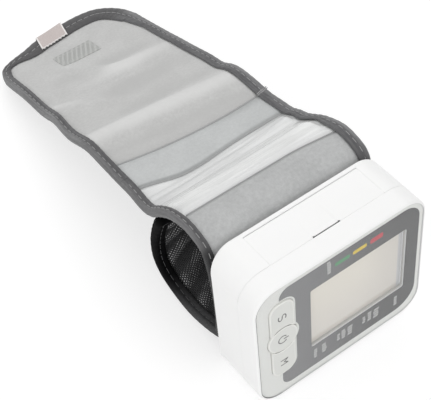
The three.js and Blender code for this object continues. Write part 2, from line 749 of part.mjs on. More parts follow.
// The point offset sideways from a route at a station, in y and z. Past its end the route runs on straight.
function offsetPoint(route, station, offset, ahead = 0) {
  const length = route.getLength();
  const u = Math.min(Math.max(station / length, 0), 1);
  const place = route.getPointAt(u);
  const along = route.getTangentAt(u);
  const run = station - u * length + ahead;
  return [place.y + along.y * run - along.z * offset, place.z + along.z * run + along.y * offset];
}

// A strip of the cuff between two stations and two offsets, with a flat start, or one that is round about
// the hinge line at its first station. All strips bend at the same stations, so their layers stay parallel.
function strip(route, from, to, low, high, roundStart = false) {
  const stations = [from];
  const least = stripSpacing / 4;
  for (let s = Math.ceil((from + least) / stripSpacing) * stripSpacing; s < to - least; s += stripSpacing) {
    stations.push(s);
  }
  stations.push(to);
  const upper = stations.map((s) => offsetPoint(route, s, high));
  const lower = stations.map((s) => offsetPoint(route, s, low)).reverse();
  const start = [];
  if (roundStart) {
    const radius = Math.max(Math.abs(low), Math.abs(high));
    const bottom = Math.asin(low / radius);
    const top = Math.asin(high / radius);
    const arcSteps = 6;
    for (let i = 0; i <= arcSteps; i += 1) {
      const angle = bottom + ((top - bottom) * i) / arcSteps;
      const onRim = Math.abs(Math.cos(angle)) > 1e-6;
      if (onRim) start.push(offsetPoint(route, from, radius * Math.sin(angle), -radius * Math.cos(angle)));
    }
  }
  return polygon([...start, ...upper, ...lower]);
}

const slotHalf = halfCuff + layerGap;
const cuffWidth = caseWidth - 2 * cuffInset;
const strapEndWidth = cuffWidth - 2 * strapTaper;
const plateWidth = cuffWidth - 2 * (bindingWidth + plateSideGap);
const panelHalf = cuffWidth / 2 - bindingWall - layerGap;
const band = (shape, half = panelHalf) => across(shape, -half, half);
const skinLow = halfCuff - skinThickness;
const stiffenerLow = skinLow - layerGap - stiffenerThickness;
const bladderHigh = stiffenerLow - layerGap;
const bladderLow = bladderHigh - bladderThickness;
const liningHigh = bladderLow - layerGap;
const wallStart = halfBinding + hingeGap;
const panelBack = halfCuff + hingeGap;
const bindingBack = halfBinding * Math.tan(strapSwing / 2) + hingeGap;
const nozzlePass = nozzleHole(wallY(nozzleZ));
const ringEnd = seamMid - panelBack;

// Ring: the wall against the case's back, the arch over its rear edge and the film panel
piece('ring_cover', cut(
  band(strip(strap, wallStart, seamFilm - layerGap, skinLow, halfCuff)),
  nozzlePass,
), 'loopFabric');
piece('cuff_stiffener', cut(
  band(strip(strap, wallStart, seamFilm - stiffenerTop, stiffenerLow, skinLow - layerGap)),
  nozzlePass,
), 'clearPanel');
piece('film_panel', band(strip(strap, seamFilm + layerGap, ringEnd, stiffenerLow, halfCuff)), 'film');
piece('air_bladder', band(strip(strap, wallStart, ringEnd, bladderLow, bladderHigh)), 'darkPart');
piece('ring_lining', band(strip(strap, wallStart, ringEnd, -halfCuff, liningHigh)), 'blackMesh');
const plateLow = halfCuff + layerGap;
const plateEnd = wallTop - creaseHeight - plateMargin;
piece('mounting_plate', cut(
  band(strip(strap, plateMargin, plateEnd, plateLow, plateLow + plateThickness), plateWidth / 2),
  nozzlePass,
), 'darkPart');
const nozzleEnd = wallY(nozzleZ) - bladderHigh - fitGap;
const nozzleStart = manifoldY + manifoldHalf + seatGap;
const collar = caseWall / 2;
piece('cuff_nozzle', join(
  bar(at(nozzleX, nozzleStart, nozzleZ), at(nozzleX, nozzleEnd, nozzleZ), nozzleRadius),
  bar(at(nozzleX, nozzleStart, nozzleZ), at(nozzleX, nozzleStart + collar, nozzleZ), nozzleRadius + collar),
), 'darkPart');

// A folded tape that holds one long edge of the cuff. side is -1 on the left and 1 on the right.
function edgeBinding(from, to, side) {
  const outer = side * cuffWidth / 2;
  const inner = side * (cuffWidth / 2 - bindingWidth);
  const tapeEnds = [outer, inner].sort((a, b) => a - b);
  const slotEnds = [outer - side * bindingWall, inner - side * overrun].sort((a, b) => a - b);
  const tape = across(strip(strap, from, to, -halfBinding, halfBinding), ...tapeEnds);
  return cut(tape, across(strip(strap, from - overrun, to + overrun, -slotHalf, slotHalf), ...slotEnds));
}

for (const [name, side] of [['left', -1], ['right', 1]]) {
  piece(`ring_binding_${name}`, edgeBinding(wallStart, seamMid - bindingBack, side), 'binding');
  piece(`mid_binding_${name}`, edgeBinding(seamMid + bindingBack, seamEnd - bindingBack, side), 'binding');
}

// Strap panels, each with a round hinge end towards the case
const midEnd = seamEnd - panelBack;
piece('mid_cover', band(strip(strap, seamMid, midEnd, layerGap, halfCuff, true)), 'loopFabric');
piece('mid_lining', band(strip(strap, seamMid, midEnd, -halfCuff, -layerGap, true)), 'blackMesh');

// The strap's end seen from above, drawn in by inset: it narrows from its seam to two round corners.
const strapTip = strap.getPointAt(1).y - bindingWall;
const taperStart = strap.getPointAt(seamEnd / strapEnd).y;
function endOutline(inset) {
  const wide = cuffWidth / 2 - inset;
  const narrow = strapEndWidth / 2 - inset;
  const corner = strapEndCorner - inset;
  const tip = strapTip - inset;
  const shape = new THREE.Shape();
  shape.moveTo(-wide, 0);
  shape.lineTo(wide, 0);
  shape.lineTo(wide, taperStart);
  shape.absarc(narrow - corner, tip - corner, corner, 0, Math.PI / 2);
  shape.absarc(corner - narrow, tip - corner, corner, Math.PI / 2, Math.PI);
  shape.lineTo(-wide, taperStart);
  shape.closePath();
  return upright(shape, -caseHeight, 2 * caseHeight);
}

const endSlot = endOutline(bindingWall);
const endPlan = endOutline(bindingWall + layerGap);
const endRun = strapEnd + overrun;
const endSkin = (low, high) => band(strip(strap, seamEnd, endRun, low, high, true)).intersect(endPlan);
piece('end_cover', endSkin(layerGap, halfCuff), 'loopFabric');
piece('end_lining', endSkin(-halfCuff, -layerGap), 'blackMesh');
const bindingFrom = seamEnd + bindingBack;
const endTape = band(strip(strap, bindingFrom, endRun, -halfBinding, halfBinding), cuffWidth / 2);
const endHollow = band(strip(strap, bindingFrom - overrun, endRun, -slotHalf, slotHalf), cuffWidth);
const endBinding = piece('end_binding', cut(
  endTape.intersect(endOutline(0)),
  endHollow.intersect(endSlot),
  endOutline(bindingWidth),
), 'binding');

// What is sewn to the strap's end
const tabInner = halfBinding + layerGap;
const tabOuter = tabInner + tabThickness;
const tabLeft = tabCentreX - tabWidth / 2;
const tabRight = tabCentreX + tabWidth / 2;
const tabFold = strip(strap, strapEnd - tabLength, strapEnd + tabThickness, -tabOuter, tabOuter);
const tabMouth = strip(strap, strapEnd - 2 * tabLength, strapEnd, -tabInner, tabInner);
const pullTab = piece('pull_tab', cut(
  across(tabFold, tabLeft, tabRight),
  across(tabMouth, tabLeft - overrun, tabRight + overrun),
), 'tab');

function makePatch() {
  const from = strapEnd - patchFromEnd - patchLength;
  const to = strapEnd - patchFromEnd;
  const base = halfCuff + layerGap;
  const sheet = strip(strap, from, to, base, base + patchThickness / 2);
  const pitch = patchWidth / patchRibs;
  const ribMargin = pitch / 4;
  const rib = strip(strap, from + ribMargin, to - ribMargin, base, base + patchThickness);
  const ribs = Array.from({ length: patchRibs }, (_, i) => {
    const x = patchCentreX - patchWidth / 2 + pitch * i + ribMargin;
    return across(rib, x, x + pitch - 2 * ribMargin);
  });
  return join(across(sheet, patchCentreX - patchWidth / 2, patchCentreX + patchWidth / 2), ...ribs);
}

piece('ribbed_patch', makePatch(), 'loopFabric');
const hookEnd = strapEnd - hookFromEnd;
const hookSheet = strip(strap, hookEnd - hookLength, hookEnd, -slotHalf - hookThickness, -slotHalf);
const hookPlan = endOutline(bindingWidth + seatGap);
piece('hook_patch', band(hookSheet, hookWidth / 2).intersect(hookPlan), 'blackMesh');

// Tail: the flap that closes the lower half of the ring and turns about the crease
const tailEnd = tail.getLength();
const tailPanelEnd = tailEnd - bindingWall - layerGap;
piece('tail_cover', band(strip(tail, 0, tailPanelEnd, -halfCuff, -layerGap, true)), 'blackMesh');
piece('tail_lining', band(strip(tail, 0, tailPanelEnd, layerGap, halfCuff, true)), 'blackMesh');
const tailInner = strip(tail, -overrun, tailEnd - bindingWidth, -2 * halfBinding, 2 * halfBinding);
piece('tail_binding', cut(
  band(strip(tail, hingeGap, tailEnd, -halfBinding, halfBinding), cuffWidth / 2),
  band(strip(tail, -overrun, tailEnd - bindingWall, -slotHalf, slotHalf), cuffWidth / 2 - bindingWall),
  band(tailInner, cuffWidth / 2 - bindingWidth),
), 'blackMesh');

// The whole assembly leans back about the case's lower rear edge until the strap's end rests on the table.
function lowest(mesh, lean) {
  const places = mesh.geometry.getAttribute('position');
  let least = Infinity;
  for (let i = 0; i < places.count; i += 1) {
    least = Math.min(least, places.getZ(i) * Math.cos(lean) - places.getY(i) * Math.sin(lean));
  }
  return least;
}

function restingLean() {
  const halvings = 40;
  let least = 0;
  let most = Math.PI / 4;
  for (let i = 0; i < halvings; i += 1) {
    const middle = (least + most) / 2;
    const strapLow = Math.min(lowest(pullTab, middle), lowest(endBinding, middle));
    if (strapLow > lowest(rearCasing, middle)) least = middle;
    else most = middle;
  }
  return (least + most) / 2;
}

const lean = restingLean();
standing.rotation.x = -lean;
const monitor = new THREE.Group();
monitor.add(standing);
monitor.updateMatrixWorld(true);
const bounds = new THREE.Box3().setFromObject(monitor, true);
standing.position.set(0, -(bounds.min.y + bounds.max.y) / 2, -bounds.min.z);

export default monitor;
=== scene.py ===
import json
import math

import bmesh
import bpy
import numpy as np
from mathutils import Matrix
from mathutils.geometry import delaunay_2d_cdt


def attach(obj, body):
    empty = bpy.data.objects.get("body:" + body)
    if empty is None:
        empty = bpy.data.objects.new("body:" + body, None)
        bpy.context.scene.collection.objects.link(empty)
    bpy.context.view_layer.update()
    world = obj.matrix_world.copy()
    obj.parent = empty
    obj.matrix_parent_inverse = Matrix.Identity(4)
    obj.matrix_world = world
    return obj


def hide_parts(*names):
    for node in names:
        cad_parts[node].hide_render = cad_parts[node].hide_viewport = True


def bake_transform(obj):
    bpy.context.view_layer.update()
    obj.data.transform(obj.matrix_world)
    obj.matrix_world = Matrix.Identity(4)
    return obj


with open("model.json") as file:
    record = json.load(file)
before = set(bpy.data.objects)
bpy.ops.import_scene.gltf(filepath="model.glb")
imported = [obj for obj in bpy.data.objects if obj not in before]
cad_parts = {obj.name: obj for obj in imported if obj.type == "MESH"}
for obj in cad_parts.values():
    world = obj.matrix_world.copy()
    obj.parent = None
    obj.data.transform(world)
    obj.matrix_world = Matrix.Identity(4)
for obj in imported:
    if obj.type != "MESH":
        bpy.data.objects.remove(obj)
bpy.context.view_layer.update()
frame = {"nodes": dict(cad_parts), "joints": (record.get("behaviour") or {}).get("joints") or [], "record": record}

# Pieces are drawn in millimetres with the case upright: x across, y from the front face to the back, z up.
# The keys slide along the upright case's y axis, which gives the lean of the finished monitor.
keySlide = next(j for j in frame["joints"] if j["name"] == "set_key_press")["axis"]
leanCos = keySlide[1]
leanSin = -keySlide[2]
standing = frame["record"]["mounts"][0]["pos_m"]
standingY = 15.0  # the standing face's point, counted back from the front rim
shiftY = standing[1] * 1000 - standingY * leanCos
shiftZ = standing[2] * 1000 + standingY * leanSin


def turned(points):
    points = np.asarray(points, float)
    y = points[..., 1] * leanCos + points[..., 2] * leanSin
    z = points[..., 2] * leanCos - points[..., 1] * leanSin
    return np.stack([points[..., 0], y, z], -1)


# Upright millimetres to metres in the frame.
def toRow(points):
    return (turned(points) + [0, shiftY, shiftZ]) / 1000


# Vectors made one long.
def unit(vectors):
    return vectors / np.linalg.norm(vectors, axis=-1, keepdims=True)


# Links an object whose axes point right, up and back.
def placeByAxes(name, data, right, up, back, place):
    matrix = np.eye(4)
    matrix[:3, :3] = np.stack([right, up, back], -1)
    matrix[:3, 3] = place
    made = bpy.data.objects.new(name, data)
    made.matrix_world = Matrix(matrix.tolist())
    bpy.context.scene.collection.objects.link(made)
    return made


# Camera, from the picture's viewing angle
cameraView = {"azimuth": -31.4155, "elevation": 48.8553, "roll": -6.3018, "distance": 436.7,
              "right": -44.526, "up": 54.239, "focal": 1237.95, "pictureWidth": 431, "sensor": 36}


def makeCamera():
    a, e, r = (math.radians(cameraView[k]) for k in ("azimuth", "elevation", "roll"))
    back = np.array([math.sin(a) * math.cos(e), -math.cos(a) * math.cos(e), math.sin(e)])
    level = unit(np.cross([0, 0, 1], back))
    upright = np.cross(back, level)
    right = math.cos(r) * level + math.sin(r) * upright
    up = math.cos(r) * upright - math.sin(r) * level
    place = right * cameraView["right"] + up * cameraView["up"] + back * cameraView["distance"]
    data = bpy.data.cameras.new("camera")
    data.sensor_width = cameraView["sensor"]
    data.lens = cameraView["focal"] * cameraView["sensor"] / cameraView["pictureWidth"]
    bpy.context.scene.camera = placeByAxes("camera", data, *turned([right, up, back]), toRow(place))


makeCamera()
print("camera set")


# Mesh building

# Quads of a grid of rows by columns, each direction open or closed on itself.
def gridFaces(rows, cols, wrapCols=False, wrapRows=False, flip=False, start=0):
    i, j = np.meshgrid(np.arange(rows - (not wrapRows)), np.arange(cols - (not wrapCols)), indexing="ij")
    below = (i + 1) % rows
    beside = (j + 1) % cols
    quads = np.stack([i * cols + j, i * cols + beside, below * cols + beside, below * cols + j], -1)
    quads = quads.reshape(-1, 4) + start
    return (quads[:, ::-1] if flip else quads).tolist()


# A mesh object from upright points; uv holds millimetres, one pair for each point.
def meshPiece(name, points, faces, uv=None, sharp=40, outward=False):
    mesh = bpy.data.meshes.new(name)
    mesh.from_pydata(toRow(points).reshape(-1, 3).tolist(), [], faces)
    if uv is not None:
        corner = np.empty(len(mesh.loops), np.int32)
        mesh.loops.foreach_get("vertex_index", corner)
        layer = mesh.uv_layers.new(name="cut")
        layer.data.foreach_set("uv", np.asarray(uv, np.float32).reshape(-1, 2)[corner].ravel())
    if outward:
        solid = bmesh.new()
        solid.from_mesh(mesh)
        bmesh.ops.recalc_face_normals(solid, faces=solid.faces)
        solid.to_mesh(mesh)
        solid.free()
    mesh.shade_smooth()
    mesh.set_sharp_from_angle(angle=math.radians(sharp))
    piece = bpy.data.objects.new(name, mesh)
    bpy.context.scene.collection.objects.link(piece)
    return piece


# Rows of closed rings from first to last, with a flat face on each end.
def ringStack(name, rings, uv=None, sharp=40):
    rings = np.asarray(rings, float)
    rows, cols = rings.shape[:2]
    faces = gridFaces(rows, cols, wrapCols=True)
    faces.append(list(range(cols)))
    faces.append(list(range((rows - 1) * cols, rows * cols)))
    return meshPiece(name, rings, faces, uv, sharp, outward=True)


# A rounded rectangle as one closed loop, anticlockwise from its lower right corner. radii go lower right,
# upper right, upper left, lower left; topStops are extra points on the upper edge.
def roundedLoop(x0, x1, z0, z1, radii, arcSteps=12, topStops=()):
    turns = np.linspace(0, 0.5 * np.pi, arcSteps + 1)
    corners = [(x1, z0, -1, 1), (x1, z1, -1, -1), (x0, z1, 1, -1), (x0, z0, 1, 1)]
    loop = []
    for k, (x, z, sx, sz) in enumerate(corners):
        angle = turns + (k - 1) * 0.5 * np.pi
        r = radii[k]
        loop.append(np.stack([x + sx * r + r * np.cos(angle), z + sz * r + r * np.sin(angle)], -1))
        if k == 1 and len(topStops):
            loop.append(np.stack([np.asarray(topStops, float), np.full(len(topStops), z1)], -1))
    return np.vstack(loop)


# A closed loop moved sideways by distance, to the left of its direction.
def insetLoop(loop, distance):
    ahead = unit(np.roll(loop, -1, 0) - loop)
    both = ahead + unit(loop - np.roll(loop, 1, 0))
    left = unit(np.stack([-both[:, 1], both[:, 0]], -1))
    cosine = left[:, 0] * -ahead[:, 1] + left[:, 1] * ahead[:, 0]
    return loop + left * (distance / np.clip(cosine, 0.5, 1))[:, None]  # at most twice as far at a corner


# Triangles that fill an outline and leave its holes open, as indices into all the loops' points and then the
# loose points. A triangle is kept where a line from its middle crosses the loops an odd number of times.
def fillLoops(loops, loose=()):
    edges = []
    first = 0
    for loop in loops:
        index = np.arange(len(loop))
        edges += np.stack([first + index, first + np.roll(index, -1)], -1).tolist()
        first += len(loop)
    points = np.vstack([*loops, *([loose] if len(loose) else [])])
    filled = delaunay_2d_cdt([tuple(p) for p in points.tolist()], edges, [], 0, 1e-6)
    source = np.array([origin[0] for origin in filled[3]])
    triangles = source[np.array(filled[2])]
    x, z = points[triangles].mean(1).T[:, :, None]
    a, b = points[np.array(edges)].transpose(1, 2, 0)
    rise = np.where(b[1] == a[1], 1, b[1] - a[1])
    crossed = ((a[1] > z) != (b[1] > z)) & (x < a[0] + (z - a[1]) * (b[0] - a[0]) / rise)
    return triangles[crossed.sum(1) % 2 == 1].tolist()


# A flat plate in the x-z plane from depth front to back, with holes and a round front edge.
# The outline runs anticlockwise and the holes clockwise, so the material is always on the left.
def plate(name, outline, holes, front, back, bevel=0.1):
    loops = [np.asarray(outline, float)] + [np.asarray(h, float)[::-1] for h in holes]
    turn = np.radians([90, 60, 30, 0])
    rounded = [(bevel * (1 - math.cos(a)), front + bevel * (1 - math.sin(a))) for a in turn]
    steps = [(bevel * 2, front), *rounded, (0, back)]
    points, faces, capLoops = [], [], []
    first = 0
    for loop in loops:
        rings = [insetLoop(loop, inset) for inset, _ in steps]
        depth = [np.full(len(loop), y) for _, y in steps]
        block = np.stack([np.stack([r[:, 0], y, r[:, 1]], -1) for r, y in zip(rings, depth)])
        points.append(block.reshape(-1, 3))
        faces += gridFaces(len(steps), len(loop), wrapCols=True, start=first)
        capLoops.append((rings[0], first, rings[-1], first + (len(steps) - 1) * len(loop)))
        first += len(steps) * len(loop)
    for end in (0, 2):
        numbers = np.concatenate([np.arange(len(c[end])) + c[end + 1] for c in capLoops])
        faces += [[int(numbers[v]) for v in face] for face in fillLoops([c[end] for c in capLoops])]
    return meshPiece(name, np.vstack(points), faces, sharp=50, outward=True)


# Adds a wall behind an open surface, whose open edges stay sharp.
def addSolidify(piece, thickness, offset=-1.0):
    mesh = piece.data
    edge = np.empty(len(mesh.loops), np.int32)
    mesh.loops.foreach_get("edge_index", edge)
    sharp = np.empty(len(mesh.edges), bool)
    mesh.edges.foreach_get("use_edge_sharp", sharp)
    mesh.edges.foreach_set("use_edge_sharp", sharp | (np.bincount(edge, minlength=len(sharp)) == 1))
    wall = piece.modifiers.new("wall", "SOLIDIFY")
    wall.thickness = thickness / 1000
    wall.offset = offset
    return piece


def addBevel(piece, width, segments=2, angle=40):
    edge = piece.modifiers.new("edge", "BEVEL")
    edge.width = width / 1000
    edge.segments = segments
    edge.limit_method = "ANGLE"
    edge.angle_limit = math.radians(angle)
    return piece


# Shader building

def node(tree, kind, inputs=None, **settings):
    made = tree.nodes.new(kind)
    for key, value in settings.items():
        setattr(made, key, value)
    for key, value in (inputs or {}).items():
        if isinstance(value, bpy.types.NodeSocket):
            tree.links.new(value, made.inputs[key])
        else:
            made.inputs[key].default_value = value
    return made


def maths(tree, operation, a, b=0.0):
    return node(tree, "ShaderNodeMath", {0: a, 1: b}, operation=operation).outputs[0]


# Two values added by their weights.
def weighted(tree, a, weightA, b, weightB):
    return maths(tree, "ADD", maths(tree, "MULTIPLY", a, weightA), maths(tree, "MULTIPLY", b, weightB))


def remap(tree, value, low, high, toLow=0.0, toHigh=1.0):
    inputs = {0: value, 1: low, 2: high, 3: toLow, 4: toHigh}
    return node(tree, "ShaderNodeMapRange", inputs, interpolation_type="SMOOTHSTEP").outputs[0]


# Tones are written as 0 to 255 screen values.
def colour(tone):
    c = np.array(tone) / 255
    linear = np.where(c <= 0.04045, c / 12.92, ((c + 0.055) / 1.055) ** 2.4)
    return (*linear.tolist(), 1.0)


# Mixes sockets or written tones.
def mixColour(tree, factor, a, b):
    a, b = (colour(t) if isinstance(t, tuple) else t for t in (a, b))
    return node(tree, "ShaderNodeMix", {0: factor, 6: a, 7: b}, data_type="RGBA").outputs[2]


def noise(tree, vector, scale, detail=3.0, rough=0.55):
    inputs = {"Vector": vector, "Scale": scale, "Detail": detail, "Roughness": rough}
    return node(tree, "ShaderNodeTexNoise", inputs).outputs[0]


def stretched(tree, vector, scale, turn=0.0):
    inputs = {"Vector": vector, "Scale": scale, "Rotation": (0, 0, turn)}
    return node(tree, "ShaderNodeMapping", inputs).outputs[0]


def axes(tree, place):
    return node(tree, "ShaderNodeSeparateXYZ", {0: place}).outputs


def cutPlace(tree):
    return node(tree, "ShaderNodeTexCoord").outputs["UV"]


# Object coordinates in millimetres.
def millimetres(tree):
    return stretched(tree, node(tree, "ShaderNodeTexCoord").outputs["Object"], (1000, 1000, 1000))


def stored(tree, name):
    return node(tree, "ShaderNodeAttribute", attribute_name=name).outputs["Fac"]


# Sine of a length, one turn for each pitch.
def waveOf(tree, length, pitch):
    return maths(tree, "SINE", maths(tree, "MULTIPLY", length, maths(tree, "DIVIDE", 2 * math.pi, pitch)))


# A node group with a place and one size as inputs.
def newGroup(name, size, usual, outputs):
    group = bpy.data.node_groups.new(name, "ShaderNodeTree")
    group.interface.new_socket("Place", in_out="INPUT", socket_type="NodeSocketVector")
    group.interface.new_socket(size, in_out="INPUT", socket_type="NodeSocketFloat").default_value = usual
    for label in outputs:
        group.interface.new_socket(label, in_out="OUTPUT", socket_type="NodeSocketFloat")
    given = group.nodes.new("NodeGroupInput").outputs
    return group, given["Place"], given[size], group.nodes.new("NodeGroupOutput").inputs


# Moulded grain: fine noise for the surface height, slow noise for a faint change of tone.
grainLook = {"size": 0.3, "detail": 2.0, "slow": 0.03}


def makeGrainGroup():
    g = grainLook
    group, place, size, out = newGroup("mouldedGrain", "Size", g["size"], ["Height", "Tone"])
    fine = maths(group, "DIVIDE", 1.0, size)
    slow = maths(group, "MULTIPLY", fine, g["slow"])
    group.links.new(noise(group, place, fine, g["detail"]), out["Height"])
    group.links.new(noise(group, place, slow, g["detail"]), out["Tone"])
    return group


# Brushed loop pile: short crossing fibres, small clumps and slow patches of lighter and darker nap.
napLook = {"fibre": 0.35, "fibres": [((1.0, 0.35, 1.0), 0.5), ((0.4, 1.0, 1.0), -0.4)],
           "detail": 4.0, "rough": 0.7, "clump": 0.28, "clumpHeight": 0.6, "fibreTone": 0.6,
           "clumpTone": 0.5, "tone": (0.4, 0.8), "slow": 0.03, "patch": (0.32, 0.68)}


def makeNapGroup():
    g = napLook
    group, place, size, out = newGroup("brushedNap", "Fibre", g["fibre"], ["Height", "Tone", "Patch"])
    fine = maths(group, "DIVIDE", 1.0, size)
    ways = [noise(group, stretched(group, place, *way), fine, g["detail"], g["rough"]) for way in g["fibres"]]
    fibres = maths(group, "MAXIMUM", *ways)
    clumps = noise(group, place, maths(group, "MULTIPLY", fine, g["clump"]))
    slow = noise(group, place, maths(group, "MULTIPLY", fine, g["slow"]))
    both = weighted(group, fibres, g["fibreTone"], clumps, g["clumpTone"])
    group.links.new(weighted(group, fibres, 1.0, clumps, g["clumpHeight"]), out["Height"])
    group.links.new(remap(group, both, *g["tone"]), out["Tone"])
    group.links.new(remap(group, slow, *g["patch"]), out["Patch"])
    return group


# Woven tape: ribs across it crossed by ribs along it, with single lighter threads.
weaveLook = {"rib": 0.5, "thread": (2.2, 0.5, 1.0), "scale": 1.6, "detail": 4.0, "rough": 0.7, "ribTone": 0.4,
             "threadTone": 0.8, "tone": (0.35, 0.95)}


def makeTapeGroup():
    g = weaveLook
    group, place, rib, out = newGroup("wovenTape", "Rib", g["rib"], ["Height", "Tone"])
    weave = maths(group, "MULTIPLY", *(waveOf(group, axis, rib) for axis in axes(group, place)[:2]))
    height = remap(group, weave, -1.0, 1.0)
    threads = noise(group, stretched(group, place, g["thread"]), g["scale"], g["detail"], g["rough"])
    tone = weighted(group, height, g["ribTone"], threads, g["threadTone"])
    group.links.new(height, out["Height"])
    group.links.new(remap(group, tone, *g["tone"]), out["Tone"])
    return group


# Open mesh: a staggered grid of holes between round yarns, whose crossings catch the light as painted highlights,
# patchy by slow noise.
meshLook = {"pitch": 1.1, "height": (-0.7, 0.9), "yarn": (0.0, 0.35), "knot": (0.35, 0.85), "wear": 0.22,
            "detail": 2.0, "lightAndTone": (0.35, 0.62, 0.25, 1.0)}


def makeMeshGroup():
    g = meshLook
    group, place, pitch, out = newGroup("openMesh", "Pitch", g["pitch"], ["Height", "Yarn", "Knot"])
    crossing = maths(group, "MULTIPLY", *(waveOf(group, axis, pitch) for axis in axes(group, place)[:2]))
    lightAndTone = remap(group, noise(group, place, g["wear"], g["detail"]), *g["lightAndTone"])
    group.links.new(remap(group, crossing, *g["height"]), out["Height"])
    group.links.new(remap(group, maths(group, "ABSOLUTE", crossing), *g["yarn"]), out["Yarn"])
    group.links.new(maths(group, "MULTIPLY", remap(group, crossing, *g["knot"]), lightAndTone), out["Knot"])
    return group


mouldedGrain = makeGrainGroup()
brushedNap = makeNapGroup()
wovenTape = makeTapeGroup()
openMesh = makeMeshGroup()
print("node groups:", len(bpy.data.node_groups))


socketNames = {"base": "Base Color", "roughness": "Roughness", "metallic": "Metallic", "coat": "Coat Weight",
               "coatRoughness": "Coat Roughness", "sheen": "Sheen Weight",
               "sheenRoughness": "Sheen Roughness", "specular": "Specular IOR Level", "alpha": "Alpha"}


# A material with its Principled shader; the settings are constants on the shader's own sockets.
def newMaterial(name, **constants):
    material = bpy.data.materials.new(name)
    material.use_nodes = True
    shader = next(n for n in material.node_tree.nodes if n.type == "BSDF_PRINCIPLED")
    for socket, value in constants.items():
        shader.inputs[socketNames[socket]].default_value = value
    return material.node_tree, shader


def placed(tree, group, **inputs):
    return node(tree, "ShaderNodeGroup", inputs, node_tree=group).outputs


# A layer's guide: x, y or z of the object, across or along on the cut map, or a stored attribute.
def guideValue(tree, name):
    if name in ("x", "y", "z"):
        return axes(tree, millimetres(tree))["xyz".index(name)]
    if name in ("across", "along"):
        return axes(tree, cutPlace(tree))[("across", "along").index(name)]
    return stored(tree, name)


# Layers painted over a tone: each has its guide, the guide's span, the share at both ends and a tone.
def layered(tree, shade, layers):
    for guide, low, high, start, end, tone in layers:
        shade = mixColour(tree, remap(tree, guideValue(tree, guide), low, high, start, end), shade, tone)
    return shade


# Sets a finish's colour, a socket or a written tone, and its surface height and roughness where it has them.
def dress(tree, shader, shade, height=None, depth=0.0, roughness=None):
    if isinstance(shade, tuple):
        shader.inputs["Base Color"].default_value = colour(shade)
    else:
        tree.links.new(shade, shader.inputs["Base Color"])
    if height is not None:
        bump = node(tree, "ShaderNodeBump", {"Height": height, "Distance": depth / 1000, "Strength": 1.0})
        tree.links.new(bump.outputs[0], shader.inputs["Normal"])
    if roughness is not None:
        tree.links.new(roughness, shader.inputs["Roughness"])


toneSpan = (0.3, 0.7)  # where the slow noise takes the roughness from one end to the other


# Moulded or printed finish: one tone, or two close ones mixed by the slow noise, a fine grain, and layers.
def mouldedFinish(name, tone, darker, size, depth, roughness=(0.36, 0.46), layers=(), **constants):
    tree, shader = newMaterial(name, **constants)
    grain = placed(tree, mouldedGrain, Place=millimetres(tree), Size=size)
    shade = mixColour(tree, grain["Tone"], darker, tone) if darker else tone
    rough = remap(tree, grain["Tone"], *toneSpan, *roughness)
    dress(tree, shader, layered(tree, shade, layers), grain["Height"] if depth else None, depth, rough)


mouldedFinish("whiteShell", (247, 247, 246), (244, 244, 244), 0.22, 0.010)
mouldedFinish("darkPart", (58, 58, 60), (50, 50, 52), 0.3, 0.02)
mouldedFinish("greenBoard", (52, 104, 68), (44, 92, 60), 0.6, 0.01, coat=0.4)
mouldedFinish("platedSteel", (205, 206, 208), (186, 187, 190), 0.5, 0.006, (0.22, 0.36), metallic=1.0)
mouldedFinish("milkSilicone", (222, 222, 218), (212, 212, 208), 0.4, 0.01, (0.4, 0.55))
mouldedFinish("cellSleeve", (66, 70, 76), (58, 62, 68), 0.5, 0.004, (0.2, 0.3), metallic=0.4, coat=0.5)
mouldedFinish("lightPrint", (227, 228, 225), (224, 225, 222), 0.25, 0.004, (0.3, 0.36), coat=0.35,
              coatRoughness=0.06)
inks = {"keyMark": [(112, 112, 112), (104, 104, 104)], "legendInk": [(196, 197, 196), (186, 187, 186)],
        "greenInk": [(84, 150, 106), (78, 142, 100)], "yellowInk": [(222, 196, 66), (214, 188, 62)],
        "redInk": [(196, 68, 80), (188, 62, 74)]}
inkGrain = (0.3, 0.004)  # size and depth
for name, tones in inks.items():
    mouldedFinish(name, *tones, *inkGrain)
# dark ink, lighter towards the keys under a painted reflection of the surroundings
mouldedFinish("darkPrint", (131, 131, 133), None, 0.25, 0.0, (0.34, 0.4),
              [("x", -26.0, 30.0, 0.0, 1.0, (93, 93, 94))], coat=0.1, coatRoughness=0.06, specular=0.15)
# soft grey seal in the gap round the panel, darker along the key side with painted shade of the gap
mouldedFinish("sealGrey", (124, 124, 125), None, 0.3, 0.01, (0.6, 0.6),
              [("x", -35.0, -22.0, 0.0, 1.0, (206, 207, 207))], specular=0.3)
mouldedFinish("clearPanel", (236, 238, 236), None, 3.0, 0.0, (0.05, 0.1), alpha=0.04, coat=0.6,
              coatRoughness=0.04)
bpy.data.materials["clearPanel"].surface_render_method = "BLENDED"
# liquid crystal cell: warm grey, lighter upwards and darker towards the right, with painted shade darkening its
# lower edge along the well's wall, and a cool pale border at its right end
mouldedFinish("displayGlass", (217, 212, 205), None, 0.4, 0.0, (0.3, 0.36),
              [("z", 20.0, 46.0, 0.0, 1.0, (225, 220, 209)), ("x", 6.0, 25.0, 0.0, 0.8, (206, 201, 194)),
               ("z", 15.6, 20.0, 1.0, 0.0, (178, 176, 172)), ("x", 25.4, 26.1, 0.0, 1.0, (190, 191, 193)),
               ("x", 27.2, 27.5, 0.0, 1.0, (226, 228, 230))], coat=0.5, coatRoughness=0.05)
# key plastic, on a cut map of the distance from the key's edge, where it is paler
mouldedFinish("keyPlastic", (221, 222, 218), (216, 217, 213), 0.3, 0.008, (0.34, 0.44),
              [("along", 0.35, 0.75, 1.0, 0.0, (232, 232, 228))], coat=0.25, coatRoughness=0.12)


# Well round the display: on its cut map the second value is the depth. Painted shade darkens it deeper in, and a
# painted highlight makes it bright at the front edge.
def makeWellWall():
    tree, shader = newMaterial("wellWall", roughness=0.5)
    layers = [("along", 0.7, 1.6, 0.0, 1.0, (180, 178, 175)), ("along", 0.4, 0.7, 1.0, 0.0, (243, 244, 245))]
    dress(tree, shader, layered(tree, (206, 206, 205), layers))
